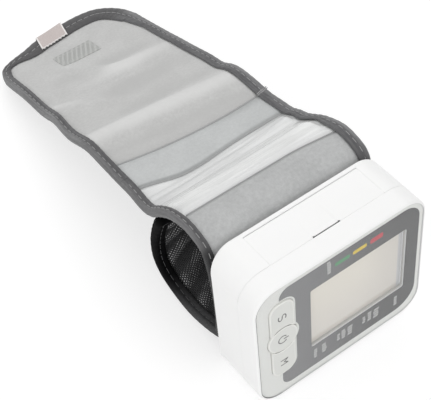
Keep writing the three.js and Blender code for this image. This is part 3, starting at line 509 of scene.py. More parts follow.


# Brushed fabric in two close greys: fibres, slow patches, and layers along the stored fold value: a painted
# highlight on the ridges and painted shade in the dips and seams.
napShare = {"fibres": 0.7, "patches": 0.3, "ridge": ("fold", 0.1, 1.5, 0.0, 0.8),
            "dip": ("fold", -0.7, -0.05, 0.7, 0.0)}


def napFinish(name, light, dark, fibre=0.35, depth=0.12, **folds):
    tree, shader = newMaterial(name, roughness=0.95, sheen=0.25, sheenRoughness=0.5, specular=0.2)
    nap = placed(tree, brushedNap, Place=cutPlace(tree), Fibre=fibre)
    amount = weighted(tree, nap["Tone"], napShare["fibres"], nap["Patch"], napShare["patches"])
    layers = [(*napShare[kind], tone) for kind, tone in folds.items()]
    dress(tree, shader, layered(tree, mixColour(tree, amount, dark, light), layers), nap["Height"], depth)


# Glossy film over the fabric: long streaks across the strap, in its relief and roughness, whose paler tone is
# painted highlight, milky patches, a grey left end, and painted highlight and shade along the stored fold value.
filmLook = {"streak": (0.035, 0.9, 1.0), "streakSpan": (0.42, 0.66), "streakShare": 0.6,
            "cloud": (0.05, 0.16, 1.0), "cloudSpan": (0.36, 0.64), "cloudShare": 0.4,
            "fibre": 0.5, "fibreShare": 0.12, "depth": 0.2, "rough": (0.35, 0.65, 0.42, 0.22),
            "layers": [("across", -33.0, -20.0, 0.75, 0.0, (196, 197, 197)),
                       ("fold", 0.0, 1.0, 0.0, 0.6, (236, 237, 236)),
                       ("fold", -1.0, 0.0, 0.85, 0.0, (200, 201, 201))]}


def makeFilmSheet():
    f = filmLook
    tree, shader = newMaterial("filmSheet", coat=0.7, coatRoughness=0.12, specular=0.6)
    place = cutPlace(tree)
    streak = noise(tree, stretched(tree, place, f["streak"]), scale=1.0, detail=4.0, rough=0.6)
    cloud = noise(tree, stretched(tree, place, f["cloud"]), scale=1.0, detail=2.0)
    nap = placed(tree, brushedNap, Place=place, Fibre=f["fibre"])
    amount = weighted(tree, remap(tree, streak, *f["streakSpan"]), f["streakShare"],
                      remap(tree, cloud, *f["cloudSpan"]), f["cloudShare"])
    shade = mixColour(tree, amount, (209, 210, 209), (235, 236, 235))
    shade = mixColour(tree, maths(tree, "MULTIPLY", nap["Tone"], f["fibreShare"]), shade, (200, 201, 201))
    shade = layered(tree, shade, f["layers"])
    dress(tree, shader, shade, streak, f["depth"], remap(tree, streak, *f["rough"]))


# Woven tape or thread in two greys.
def tapeFinish(name, light, dark, rib, depth):
    tree, shader = newMaterial(name, roughness=0.85, sheen=0.15, specular=0.3)
    weave = placed(tree, wovenTape, Place=cutPlace(tree), Rib=rib)
    dress(tree, shader, mixColour(tree, weave["Tone"], dark, light), weave["Height"], depth)


# Binding tape in two greys, paler over the fold as a painted highlight where it faces the light, with long
# streaks. It is darker where the stored value rises, at the tip and along the near left side, and darkest along
# the ring's wall, where the darkening is painted shade between the case and the strap.
bindingLook = {"rib": 0.5, "depth": 0.06, "fold": (2.6, 3.3), "streak": (1.3, 0.05, 1.0), "weaveShare": 0.5,
               "streakSpan": (0.36, 0.66, 0.0, 0.6), "lightAndTone": 0.75, "blackPaleSpan": (0.6, 1.3),
               "layers": [("dark", 0.95, 1.25, 0.0, 1.0, (42, 42, 43))]}


def makeBindingTape():
    b = bindingLook
    tree, shader = newMaterial("bindingTape", roughness=0.85, sheen=0.15, specular=0.3)
    place = cutPlace(tree)
    weave = placed(tree, wovenTape, Place=place, Rib=b["rib"])
    foldHighlight = remap(tree, axes(tree, place)[0], *b["fold"])
    light = mixColour(tree, foldHighlight, (113, 113, 114), (142, 142, 143))
    dark = mixColour(tree, foldHighlight, (79, 79, 81), (106, 106, 107))
    streak = noise(tree, stretched(tree, place, b["streak"]), scale=1.0, rough=0.6)
    tone = weighted(tree, weave["Tone"], b["weaveShare"], remap(tree, streak, *b["streakSpan"]), 1.0)
    lightAndTone = maths(tree, "MULTIPLY", stored(tree, "dark"), b["lightAndTone"])
    shade = mixColour(tree, lightAndTone, mixColour(tree, tone, dark, light), (80, 79, 80))
    dress(tree, shader, layered(tree, shade, b["layers"]), weave["Height"], b["depth"])


# Black tape of the tail: paler near the crease, where the stored value is high, and deep black above.
def makeBlackTape():
    tree, shader = newMaterial("blackTape", roughness=0.9, sheen=0.0, specular=0.12)
    weave = placed(tree, wovenTape, Place=cutPlace(tree), Rib=bindingLook["rib"])
    lightAndTone = remap(tree, stored(tree, "dark"), *bindingLook["blackPaleSpan"])
    light = mixColour(tree, lightAndTone, (11, 11, 12), (96, 96, 97))
    dark = mixColour(tree, lightAndTone, (5, 5, 6), (60, 60, 61))
    dress(tree, shader, mixColour(tree, weave["Tone"], dark, light), weave["Height"], bindingLook["depth"])


# Satin tape of the pull tab, with white threads along its cut sides and its upper sewn edge.
tabLook = {"rib": 0.35, "depth": 0.03, "sides": (5.9, 6.2), "sewn": (0.5, 0.9, 1.0, 0.0)}


def makeTabTape():
    tree, shader = newMaterial("tabTape", roughness=0.45, metallic=0.2, specular=0.3)
    place = cutPlace(tree)
    weave = placed(tree, wovenTape, Place=place, Rib=tabLook["rib"])
    across, along, _ = axes(tree, place)
    sides = remap(tree, maths(tree, "ABSOLUTE", across), *tabLook["sides"])
    sewn = remap(tree, along, *tabLook["sewn"])
    body = mixColour(tree, weave["Tone"], (183, 173, 170), (203, 194, 191))
    shade = mixColour(tree, maths(tree, "MAXIMUM", sides, sewn), body, (228, 225, 223))
    dress(tree, shader, shade, weave["Height"], tabLook["depth"])


# Mesh fabric with painted highlights on its knots; with pleats, painted shade keeps the knots dark between the
# pleats' tops.
pleatShade = (-0.7, 0.2, 0.05, 1.0)


def meshFinish(name, hole, yarn, knot, pitch, depth=0.15, pleat=None):
    tree, shader = newMaterial(name, roughness=0.8, specular=0.3)
    place = cutPlace(tree)
    mesh = placed(tree, openMesh, Place=place, Pitch=pitch)
    bright = mesh["Knot"]
    if pleat:
        across, along, _ = axes(tree, place)
        slanted = maths(tree, "ADD", along, maths(tree, "MULTIPLY", across, pleat["slant"]))
        top = remap(tree, waveOf(tree, slanted, pleat["pitch"]), *pleatShade)
        bright = maths(tree, "MULTIPLY", bright, top)
    shade = mixColour(tree, bright, mixColour(tree, mesh["Yarn"], hole, yarn), knot)
    dress(tree, shader, shade, mesh["Height"], depth)


makeWellWall()
napFinish("loopGrey", (207, 207, 206), (189, 189, 188), ridge=(220, 220, 219), dip=(186, 186, 185))
napFinish("loopArch", (196, 197, 197), (172, 173, 173), 0.42, 0.16, dip=(146, 147, 147))
napFinish("loopBlue", (204, 206, 206), (188, 190, 190), dip=(152, 154, 154))
makeFilmSheet()
makeBindingTape()
makeBlackTape()
makeTabTape()
meshFinish("blackMesh", (16, 16, 17), (46, 46, 47), (196, 196, 197), 1.3)
meshFinish("hookTape", (20, 20, 21), (40, 40, 41), (70, 70, 71), 0.9, 0.3)
tapeFinish("paleThread", (176, 176, 176), (150, 150, 150), 0.25, 0.03)
tapeFinish("darkThread", (98, 98, 99), (78, 78, 79), 0.25, 0.03)
tapeFinish("seamThread", (178, 179, 179), (156, 157, 157), 0.3, 0.03)
print("materials:", len(bpy.data.materials))


# Gives a piece its finish, the body it moves with, and the CAD nodes that it stands for.
def finishPiece(piece, finish, body=None, replaced=()):
    piece.data.materials.clear()
    piece.data.materials.append(bpy.data.materials[finish])
    if body:
        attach(piece, body)
    if replaced:
        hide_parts(*replaced)
    return piece


# Case
case = {"width": 72.0, "height": 60.5, "depth": 24.9, "corner": 9.5, "wall": 1.8, "fillet": 0.85,
        "parting": 8.5, "partingGap": 0.04, "lip": 0.05, "lipShare": 0.4, "lipDepth": 0.06, "sag": 4.0,
        "rim": 0.8, "rimEdge": [(-0.04, 0.03), (0.0, 0.12)], "wallFrom": 4.6, "seatFront": 1.9,
        "seatBack": 3.4, "seatInset": 3.4, "rearFillet": 0.5, "backInsets": (1.9, 2.4),
        "backHalf": 24.0, "backMargin": 6.0}
half = case["width"] / 2
saddleRadius = ((case["height"] / 2) ** 2 + case["sag"] ** 2) / (2 * case["sag"])
saddleCentre = case["depth"] - case["sag"] + saddleRadius
frontEdge = case["parting"] - case["partingGap"] / 2
rearEdge = case["parting"] + case["partingGap"] / 2


# The back is an arc over the case's height: depth as a function of z, moved by grow towards its centre.
def saddleY(z, grow=0.0):
    return saddleCentre - np.sqrt((saddleRadius - grow) ** 2 - (z - case["height"] / 2) ** 2)


def caseLoop(inset, topStops=()):
    r = max(case["corner"] - inset, 0.2)
    return roundedLoop(inset - half, half - inset, inset, case["height"] - inset, [r] * 4, 16, topStops)


def atDepth(loop, y):
    return np.stack([loop[:, 0], np.broadcast_to(y, len(loop)), loop[:, 1]], -1)


# Front shell: one closed profile of inset and depth, carried round the case's outline.
def makeFrontShell():
    c = case
    f, lip, rim, wall, seat = (c[k] for k in ("fillet", "lip", "rim", "wall", "seatInset"))
    turn = np.radians(np.arange(0, 91, 11.25))
    profile = [(lip, frontEdge), (lip * c["lipShare"], frontEdge - c["lipDepth"]), (0.0, frontEdge - lip),
               (0.0, c["wallFrom"])]
    profile += np.stack([f - f * np.cos(turn), f - f * np.sin(turn)], -1).tolist()
    profile += [(rim + inset, y) for inset, y in c["rimEdge"]]
    profile += [(rim, c["seatFront"]), (seat, c["seatFront"]), (seat, c["seatBack"]), (wall, c["seatBack"]),
                (wall, frontEdge)]
    rings = np.stack([atDepth(caseLoop(inset), y) for inset, y in profile])
    faces = gridFaces(len(profile), rings.shape[1], wrapCols=True, wrapRows=True)
    shell = meshPiece("frontShell", rings, faces, sharp=42, outward=True)
    finishPiece(shell, "whiteShell", "monitor", ["front_casing"])


# Openings of the rear shell: the battery door with its finger slit, and the casing screws
door = {"left": -22.3, "right": 25.0, "gap": 0.03, "slitLeft": -4.5, "slitRight": 5.9, "slit": 0.45,
        "slitEnd": 0.5, "shadeBelow": 0.3, "shadeGap": 0.05, "shadeWaist": 0.04, "shadeDeep": 1.2, "rearGap": 0.1,
        "pivotY": 22.25, "edge": 0.1, "edgeShare": 0.3, "bevel": 0.07,
        "lip": [(0.76, 0.9), (1.04, 0.9), (1.04, 0.25), (0.93, 0.25), (0.84, 0.6)]}  # y and z from the pivot
screw = {"inset": 6.2, "hole": 2.1, "sides": 20}


# Rear shell: the walls run back to the saddle and round into it. The grid's columns between the door's
# ends are left out, and the back is filled round the four screw holes.
def makeRearShell():
    stops = np.linspace(door["right"] + door["gap"], door["left"] - door["gap"], 9)
    r = case["rearFillet"]
    lip = case["lip"]
    rings = [atDepth(caseLoop(lip, stops), rearEdge),
             atDepth(caseLoop(lip * case["lipShare"], stops), rearEdge + case["lipDepth"])]
    side = caseLoop(0, stops)
    wallEnd = saddleY(side[:, 1]) - r
    doorEnd = door["pivotY"] + case["wall"] / 2 + door["rearGap"]
    lastRow = (doorEnd - rearEdge - lip) / (saddleY(case["height"]) - r - rearEdge - lip)
    for share in [*np.linspace(0, lastRow, 6), 1.0]:
        rings.append(atDepth(side, (rearEdge + lip) * (1 - share) + wallEnd * share))
    wallRows = len(rings) - 2
    for turn in np.radians(np.arange(15, 91, 15)):
        loop = caseLoop(r * (1 - math.cos(turn)), stops)
        rings.append(atDepth(loop, saddleY(loop[:, 1]) - r * (1 - math.sin(turn))))
    for inset in case["backInsets"]:
        inner = caseLoop(inset, stops)
        rings.append(atDepth(inner, saddleY(inner[:, 1])))
    points = np.stack(rings)
    rows, cols = points.shape[:2]
    quads = np.array(gridFaces(rows, cols, wrapCols=True, flip=True)).reshape(rows - 1, cols, 4)
    first = int(np.argmin(np.hypot(side[:, 0] - stops[0], side[:, 1] - case["height"])))
    keep = np.ones((rows - 1, cols), bool)
    keep[:wallRows, first:first + len(stops) - 1] = False
    faces = quads[keep].tolist()
    # the back: rows of points across the saddle, joined to the last ring and to the screw holes
    turn = np.linspace(0, 2 * np.pi, screw["sides"], endpoint=False)
    hole = np.stack([np.cos(turn), -np.sin(turn)], -1) * screw["hole"]
    spots = [(sx * (half - screw["inset"]), z) for sx in (-1, 1)
             for z in (screw["inset"], case["height"] - screw["inset"])]
    holes = [hole + spot for spot in spots]
    wide, margin = case["backHalf"], case["backMargin"]
    gx, gz = np.meshgrid(np.linspace(-wide, wide, 9), np.linspace(margin, case["height"] - margin, 17))
    loose = np.stack([gx.ravel(), gz.ravel()], -1)
    flat = np.vstack([inner, *holes, loose])
    number = np.arange(len(flat)) + (rows - 1) * cols
    faces += [[int(number[v]) for v in face][::-1] for face in fillLoops([inner, *holes], loose)]
    extra = flat[cols:]
    points = np.vstack([points.reshape(-1, 3), atDepth(extra, saddleY(extra[:, 1]))])
    shell = addSolidify(meshPiece("rearShell", points, faces, sharp=42), case["wall"])
    finishPiece(shell, "whiteShell", "monitor", ["rear_casing"])


# Battery tray: a rounded trough across the case, open at the top, with a wall towards the board.
tray = {"left": -24.3, "right": 27.0, "floor": 36.2, "top": 58.2, "front": 8.0, "rear": 19.6, "corner": 1.2,
        "wall": 0.8, "rows": 4}


def makeBatteryTray():
    t = tray
    turn = np.linspace(0, 0.5 * np.pi, 6)
    left = np.stack([t["left"] + t["corner"] - t["corner"] * np.cos(turn),
                     t["floor"] + t["corner"] - t["corner"] * np.sin(turn)], -1)
    right = np.stack([t["right"] - t["corner"] + t["corner"] * np.sin(turn),
                      t["floor"] + t["corner"] - t["corner"] * np.cos(turn)], -1)
    path = np.vstack([[(t["left"], t["top"])], left, right, [(t["right"], t["top"])]])
    rows = np.stack([atDepth(path, y) for y in np.linspace(t["front"], t["rear"], t["rows"])])
    faces = gridFaces(t["rows"], len(path))
    faces.append(list(range(len(path))))
    trough = addSolidify(meshPiece("batteryTray", rows, faces, sharp=30), t["wall"], 1.0)
    finishPiece(trough, "whiteShell", "monitor")


# A lip of the rear shell that reaches over the door's rounded rear edge and stays clear of its swing.
def makeDoorLip():
    offset = np.array(door["lip"])
    x = np.linspace(door["left"] - door["gap"], door["right"] + door["gap"], 12)[:, None]
    y = door["pivotY"] + offset[:, 0]
    z = case["height"] - case["wall"] / 2 + offset[:, 1]
    lip = ringStack("doorLip", np.stack(np.broadcast_arrays(x, y, z), -1), sharp=30)
    finishPiece(lip, "whiteShell", "monitor")


# Battery door: its cross-section of y and z is carried across x, and its front edge steps back along the
# finger slit and round the slit's two ends.
def makeDoor():
    d = door
    e = d["slitEnd"]
    centre = rearEdge + d["slit"] / 2
    openHalf = math.sqrt(e * e - (d["slit"] / 2) ** 2)
    swing = np.linspace(-1, 1, 13)
    leftEnd = d["slitLeft"] + openHalf * swing
    rightEnd = d["slitRight"] + openHalf * swing
    between = np.linspace(d["slitLeft"] + 1, d["slitRight"] - 1, 5)
    beside = 0.01  # from the slit's ends to the full front edge
    x = np.concatenate([[d["left"], leftEnd[0] - beside], leftEnd, between, rightEnd,
                        [rightEnd[-1] + beside, d["right"]]])
    reach = np.zeros_like(x)
    inside = (x > leftEnd[0] - beside / 2) & (x < rightEnd[-1] + beside / 2)
    reach[inside] = d["slit"]
    for end in (d["slitLeft"], d["slitRight"]):
        near = np.abs(x - end) <= openHalf + 1e-6
        reach[near] = centre - rearEdge + np.sqrt(e * e - (x[near] - end) ** 2)
    r = case["wall"] / 2
    turn = np.linspace(-0.5 * np.pi, 0.5 * np.pi, 11)
    rear = np.stack([d["pivotY"] + r * np.cos(turn), case["height"] - r + r * np.sin(turn)], -1)
    low, high = case["height"] - case["wall"], case["height"]
    front = rearEdge + reach
    edge, near = d["edge"], d["edge"] * d["edgeShare"]
    rounded = [(edge, 0.0), (near, near), (0.0, edge)]
    columns = [np.stack([x, np.full_like(x, y), np.full_like(x, z)], -1) for y, z in rear]
    columns += [np.stack([x, front + dy, np.full_like(x, high - dz)], -1) for dy, dz in rounded]
    columns.append(np.stack([x, front, np.full_like(x, low)], -1))
    rings = np.stack(columns, 1)
    plateDoor = addBevel(ringStack("doorPlate", rings, sharp=35), d["bevel"], 2, 50)
    finishPiece(plateDoor, "whiteShell", "door", ["battery_door"])


# Painted shade in the finger slit: a dark strip with round ends, just below the top of the case, standing for the
# shade inside the slit.
def makeSlitShade():
    d = door
    r, high = d["slitEnd"] - d["shadeGap"], case["height"] - d["shadeBelow"]
    y = rearEdge + d["slit"] / 2
    waist = math.degrees(math.asin((d["slit"] / 2 - d["shadeWaist"]) / r))
    turn = np.radians(np.linspace(waist - 180, 180 - waist, 15))
    side = np.maximum(y + r * np.sin(turn), rearEdge - d["shadeGap"])
    right = np.stack([d["slitRight"] + r * np.cos(turn), side], -1)
    loop = np.vstack([right, right[::-1] * [-1, 1] + [d["slitLeft"] + d["slitRight"], 0]])
    rings = np.stack([np.column_stack([loop, np.full(len(loop), z)]) for z in (high - d["shadeDeep"], high)])
    finishPiece(ringStack("slitShade", rings, sharp=50), "darkPart", "monitor")


makeFrontShell()
makeRearShell()
makeBatteryTray()
makeDoorLip()
makeDoor()
makeSlitShade()
print("case: front shell, rear shell, tray, door")


# Keys. The cluster is two round-cornered pads in line, with a round key in the middle.
keys = {"x": -25.1, "z": 32.4, "radius": 6.1, "padHalf": 4.9, "reach": 19.6, "corner": 4.0, "slit": 0.1,
        "back": 1.0, "proud": 0.32, "clear": 0.14, "lightRim": 0.9, "webGrow": 0.6, "webFront": 1.56,
        "webBack": 1.74, "hollow": 0.1, "uvStep": 0.5,
        "rim": [(0.0, 0.3), (0.05, 0.16), (0.16, 0.05), (0.32, 0.0), (0.5, 0.0), (0.68, 0.05), (0.85, 0.09),
                (1.05, 0.1)]}  # inset and depth below the key's highest line


def arcPoints(x, z, radius, fromDegrees, toDegrees, steps=10):
    turn = np.radians(np.linspace(fromDegrees, toDegrees, steps))
    return np.stack([x + radius * np.cos(turn), z + radius * np.sin(turn)], -1)


# Right half of the whole cluster's outline, from its top to its bottom, grown outwards.
def clusterSide(grow):
    k = keys
    wide = k["padHalf"] + grow
    radius = k["radius"] + grow
    waist = math.degrees(math.asin(math.sqrt(radius ** 2 - wide ** 2) / radius))
    top = arcPoints(k["padHalf"] - k["corner"], k["reach"] - k["corner"], k["corner"] + grow, 90, 0)
    middle = arcPoints(0, 0, radius, waist, -waist, 15)
    bottom = arcPoints(k["padHalf"] - k["corner"], k["corner"] - k["reach"], k["corner"] + grow, 0, -90)
    return np.vstack([top, middle, bottom])


def clusterLoop(grow):
    right = clusterSide(grow)
    whole = np.vstack([right[::-1], right * [-1, 1]])
    return whole + [keys["x"], keys["z"]]


# One pad, anticlockwise: side is 1 for the upper pad and -1 for the lower.
def padLoop(side):
    k = keys
    radius = k["radius"] + k["slit"]
    spread = math.degrees(math.asin(k["padHalf"] / radius))
    near = arcPoints(0, 0, radius, 90 + spread, 90 - spread, 15)
    inner = k["padHalf"] - k["corner"]
    far = k["reach"] - k["corner"]
    right = arcPoints(inner, far, k["corner"], 0, 90)
    left = arcPoints(-inner, far, k["corner"], 90, 180)
    return side * np.vstack([near, right, left]) + [k["x"], k["z"]]


# A key: rings of inset and depth from its back, over a raised rim, to its slightly hollow top.
def makeKey(name, loop, body, cadKey):
    steps = [(0.0, keys["back"])] + [(inset, below - keys["proud"]) for inset, below in keys["rim"]]
    rings = np.stack([atDepth(insetLoop(loop, inset), y) for inset, y in steps])
    uv = np.zeros((*rings.shape[:2], 2))
    uv[..., 0] = np.arange(rings.shape[1]) * keys["uvStep"]
    uv[..., 1] = np.array([inset for inset, _ in steps])[:, None]
    key = ringStack(name, rings, uv, sharp=60)
    finishPiece(key, "keyPlastic", body, [cadKey])


roundLoop = arcPoints(keys["x"], keys["z"], keys["radius"], 0, 350, 36)
makeKey("setKey", padLoop(1), "key_set", "set_key")
makeKey("powerKey", roundLoop, "key_power", "power_key")
makeKey("memoryKey", padLoop(-1), "key_memory", "memory_key")


# Front panel, the two prints under it and the well round the display
front = {"inset": 1.1, "panelFront": 0.04, "panelBack": 0.2, "maskFront": 0.24, "printFront": 0.3,
         "printBack": 0.48, "sealFront": 0.06, "sealBack": 0.5, "sealBevel": 0.03, "maskLeft": -25.7,
         "maskRight": 33.4, "maskLow": 4.3, "maskTop": 57.6, "maskCorners": [9.0, 7.0, 4.3, 4.0],
         "windowLeft": -13.1, "windowRight": 27.9, "windowLow": 16.05, "windowTop": 47.55,
         "windowCorner": 0.8, "hair": 0.02, "printLap": 0.3, "panelBevel": 0.2, "webBevel": 0.05,
         "wellBack": 3.66, "wellWall": 1.6, "wellEdge": 0.12, "wellClear": 0.05, "wellLap": 0.4,
         "displayFront": 1.6}


def windowLoop(grow=0.0):
    f = front
    r = f["windowCorner"] + grow
    return roundedLoop(f["windowLeft"] - grow, f["windowRight"] + grow, f["windowLow"] - grow,
                       f["windowTop"] + grow, [r] * 4, 6)


# The mask's outline, stepping round the keys with a light rim left between.
def maskLoop():
    f = front
    outline = roundedLoop(f["maskLeft"], f["maskRight"], f["maskLow"], f["maskTop"], f["maskCorners"], 12)
    notch = clusterSide(keys["lightRim"])
    notch = notch[notch[:, 0] > f["maskLeft"] - keys["x"]] + [keys["x"], keys["z"]]
    top, bottom = notch[0, 1], notch[-1, 1]
    notch = np.vstack([[(f["maskLeft"], top)], notch, [(f["maskLeft"], bottom)]])
    upper = int(np.argmax(outline[:, 0] < f["maskLeft"] + 1e-6)) + 1
    return np.vstack([outline[:upper], notch, outline[upper:]])


def makeFrontPieces():
    f, k = front, keys
    hair, inset, keyHole = f["hair"], f["inset"], clusterLoop(k["clear"])
    plates = [
        ("frontPanel", caseLoop(inset), [keyHole], f["panelFront"], f["panelBack"], f["panelBevel"],
         "clearPanel", "clear_panel", ["front_panel"]),
        ("borderPrint", caseLoop(inset), [keyHole, windowLoop(f["printLap"])], f["printFront"],
         f["printBack"], hair, "lightPrint", "light_print", ["border_print"]),
        ("maskPrint", maskLoop(), [windowLoop()], f["maskFront"], f["printFront"] - hair, hair,
         "darkPrint", "dark_print", ["mask_print"]),
        ("keyWeb", clusterLoop(k["webGrow"]), [], k["webFront"], k["webBack"], f["webBevel"],
         "lightPrint", "key", []),
        ("panelSeal", caseLoop(case["rim"] + hair), [caseLoop(inset - hair)], f["sealFront"], f["sealBack"],
         f["sealBevel"], "sealGrey", "dark_print", []),
        ("displayFace", windowLoop(-hair), [], f["displayFront"], f["wellBack"] - hair, hair,
         "displayGlass", "display", [])]
    for name, outline, holes, near, far, bevel, finish, slot, nodes in plates:
        finishPiece(plate(name, outline, holes, near, far, bevel), finish, "monitor", nodes)


# The well's wall: one closed profile of growth and depth, carried round the window.
def makeWindowWell():
    f = front
    top, behind = f["printFront"] + f["hair"], f["printBack"] + f["wellClear"]
    profile = [(f["wellEdge"], top), (0.0, top + f["wellEdge"]), (0.0, f["wellBack"]),
               (f["wellWall"], f["wellBack"]), (f["wellWall"], behind), (f["wellLap"], behind)]
    rings = np.stack([atDepth(windowLoop(grow), y) for grow, y in profile])
    uv = np.stack(np.broadcast_arrays(np.arange(rings.shape[1]) * keys["uvStep"], rings[..., 1]), -1)
    faces = gridFaces(len(profile), rings.shape[1], True, True)
    well = meshPiece("windowWell", rings, faces, uv, outward=True)
    finishPiece(well, "wellWall", "monitor")


makeFrontPieces()
makeWindowWell()


# Marks on the keys and the panel. A stroke is a flat ribbon along a path of x and z.
marks = {"thickness": 0.03, "stroke": 0.42, "letterHalf": 1.25, "letterHeight": 1.55, "valley": -0.1,
         "ring": 1.75, "ringDrop": -0.15, "barFrom": 0.2, "barOver": 0.45, "setAt": 44.3, "powerAt": 32.3,
         "memoryAt": 19.2}


def strokeRibbon(name, path, width, depth, thickness):
    path = np.asarray(path, float)
    along = unit(np.gradient(path, axis=0))
    side = np.stack([-along[:, 1], along[:, 0]], -1) * width / 2
    rings = np.stack([atDepth(path + side, depth), atDepth(path + side, depth - thickness),
                      atDepth(path - side, depth - thickness), atDepth(path - side, depth)], 1)
    return ringStack(name, rings, sharp=30)


# Letter points run right and up; on the key, up points along x and right points down.
def onKey(points, z):
    points = np.asarray(points, float)
    return np.stack([keys["x"] + points[:, 1], z - points[:, 0]], -1)


# A path through corner points with several points on each straight stretch.
def straightPath(corners, steps=6):
    corners = np.asarray(corners, float)
    share = np.linspace(0, 1, steps, endpoint=False)[:, None]
    runs = [a + (b - a) * share for a, b in zip(corners[:-1], corners[1:])]
    return np.vstack([*runs, corners[-1:]])


def makeKeyMarks():
    m = marks
    depth = keys["hollow"] - keys["proud"]
    w, h = m["letterHalf"], m["letterHeight"]
    bowl = h / 2
    bowls = [arcPoints(0, bowl, bowl, 35, 270, 16), arcPoints(0, -bowl, bowl, 90, -145, 16)]
    curl = np.vstack(bowls) * [w / bowl, 1]
    power = arcPoints(0, m["ringDrop"], m["ring"], 125, 415, 30)
    bar = straightPath([(0, m["barFrom"]), (0, m["ring"] + m["barOver"])])
    peaks = straightPath([(-w, -h), (-w, h), (0, h * m["valley"]), (w, h), (w, -h)])
    for name, path, z, body in [("setMark", curl, m["setAt"], "key_set"),
                                ("powerRing", power, m["powerAt"], "key_power"),
                                ("powerBar", bar, m["powerAt"], "key_power"),
                                ("memoryMark", peaks, m["memoryAt"], "key_memory")]:
        made = strokeRibbon(name, onKey(path, z), m["stroke"], depth, m["thickness"])
        finishPiece(made, "keyMark", body)


# Reading bars and plain legend blocks, thin on the mask. A bar is its two ends and its height.
readingBars = {"green": (-2.9, 3.3, 1.7), "yellow": (4.6, 10.4, 1.7), "red": (11.9, 17.4, 2.3)}
barMiddle = 53.0
legends = [(-5.4, 1.4, 50.6, 57.0), (-11.5, 1.4, 8.6, 13.7), (-7.7, 1.8, 8.6, 14.6), (-1.4, 1.1, 9.6, 13.1),
           (0.9, 1.6, 8.9, 14.3), (3.8, 2.0, 8.7, 14.4), (10.2, 1.2, 9.6, 13.1), (12.7, 1.6, 9.0, 14.2),
           (15.7, 2.2, 8.5, 14.3), (24.7, 1.5, 7.8, 13.2)]  # middle, width, low and high end
glyph = {"pitch": 1.3, "tall": 0.86, "seed": 5, "unevenLeft": 0.1, "unevenRight": 0.15, "barCorner": 0.3,
         "bevel": 0.01}


def makeBar(name, x0, x1, tall):
    r = min(x1 - x0, tall) * glyph["barCorner"]
    depth = front["maskFront"]
    outline = roundedLoop(x0, x1, barMiddle - tall / 2, barMiddle + tall / 2, [r] * 4, 5)
    bar = plate(name + "Bar", outline, [], depth - marks["thickness"], depth, glyph["bevel"])
    finishPiece(bar, name + "Ink", "monitor")


# A legend is a column of small strokes of uneven width, as small print looks from a step away.
def makeLegend(name, middle, width, low, high, draw):
    m, depth = marks, front["maskFront"]
    z = np.arange(low, high - glyph["tall"], glyph["pitch"])
    left, right = glyph["unevenLeft"], glyph["unevenRight"]
    x0 = middle - width / 2 + width * draw.uniform(-left, left, len(z))
    x1 = middle + width / 2 - width * draw.uniform(-right, right, len(z))
    x = np.stack([x0, x1, x1, x0], -1)
    face = np.stack([x, np.zeros_like(x), z[:, None] + np.array([0, 0, 1, 1]) * glyph["tall"]], -1)
    points = np.stack([face + [0, depth - m["thickness"], 0], face + [0, depth, 0]], 1)
    one = gridFaces(2, 4, wrapCols=True) + [[3, 2, 1, 0], [4, 5, 6, 7]]
    faces = [[v + 8 * k for v in corners] for k in range(len(z)) for corners in one]
    piece = meshPiece(name, points, faces, points[..., [0, 2]], sharp=30, outward=True)
    finishPiece(piece, "legendInk", "monitor")


def makeLegends():
    for name, size in readingBars.items():
        makeBar(name, *size)
    draw = np.random.default_rng(glyph["seed"])
    for k, (middle, width, low, high) in enumerate(legends):
        makeLegend(f"legend{k + 1}", middle, width, low, high, draw)


makeKeyMarks()
makeLegends()
print("front: keys, panel, prints, marks")


# Cuff. A route is a line of y and z along the strap; its normal points up from the strap, towards the case at
# the ring's wall, and into the ring on the tail. Heights count from the middle of the strap's thickness.
cuff = {"endLength": 102.5, "midLength": 16.1, "filmLength": 34.5, "crease": 11.9, "wallGap": 2.55,
        "runOut": 14.0, "drop": 0.3, "edgeHeight": 0.6, "crown": 0.4, "skin": 0.6, "tuck": 0.9,
        "tailHalf": 34.4, "tailCorner": 2.2, "tailEdge": 0.6, "ringStart": 4.6, "archStart": 5.0,
        "liningStart": 3.6, "tailStart": 14.2, "bend": 6.0, "bendOver": 2.0, "tailBend": 8.0}
strapRoute = [(3.2, -1.8), (8.4, 0.6), (14.1, 1.1), (22.6, -1.8), (29.5, -6.2), (35.1, -10.7), (41.1, -13.2),
              (48.6, -14.1), (57.1, -15.5), (67.1, -15.7), (78.1, -16.5), (93.1, -21.5), (105.1, -24.5),
              (125.1, -28.8), (140.1, -32.0), (163.1, -36.5)]
tailLowRoute = [(9.0, 10.2), (19.0, 8.2), (27.0, 9.5), (35.0, 13.2), (38.6, 18.5)]
tailHighRoute = [(38.8, -33.5), (36.8, -25.5), (33.8, -17.9), (32.4, -14.8)]


# Centripetal Catmull-Rom curve through the points, with the ends mirrored.
def smoothRoute(points, steps=48):
    p = np.asarray(points, float)
    p = np.vstack([2 * p[0] - p[1], p, 2 * p[-1] - p[-2]])
    a, b, c, d = p[:-3], p[1:-2], p[2:-1], p[3:]
    spans = (np.sqrt(np.linalg.norm(m - n, axis=1))[:, None] for m, n in ((a, b), (b, c), (c, d)))
    before, between, after = spans
    leave = ((b - a) / before - (c - a) / (before + between) + (c - b) / between) * between
    reach = ((c - b) / between - (d - b) / (between + after) + (d - c) / after) * between
    u = np.linspace(0, 1, steps, endpoint=False)[None, :, None]
    b, c, leave, reach = (v[:, None] for v in (b, c, leave, reach))
    square, cube = 3 * (c - b) - 2 * leave - reach, 2 * (b - c) + leave + reach
    curve = b + leave * u + square * u ** 2 + cube * u ** 3
    return np.vstack([curve.reshape(-1, 2), p[-2:-1]])


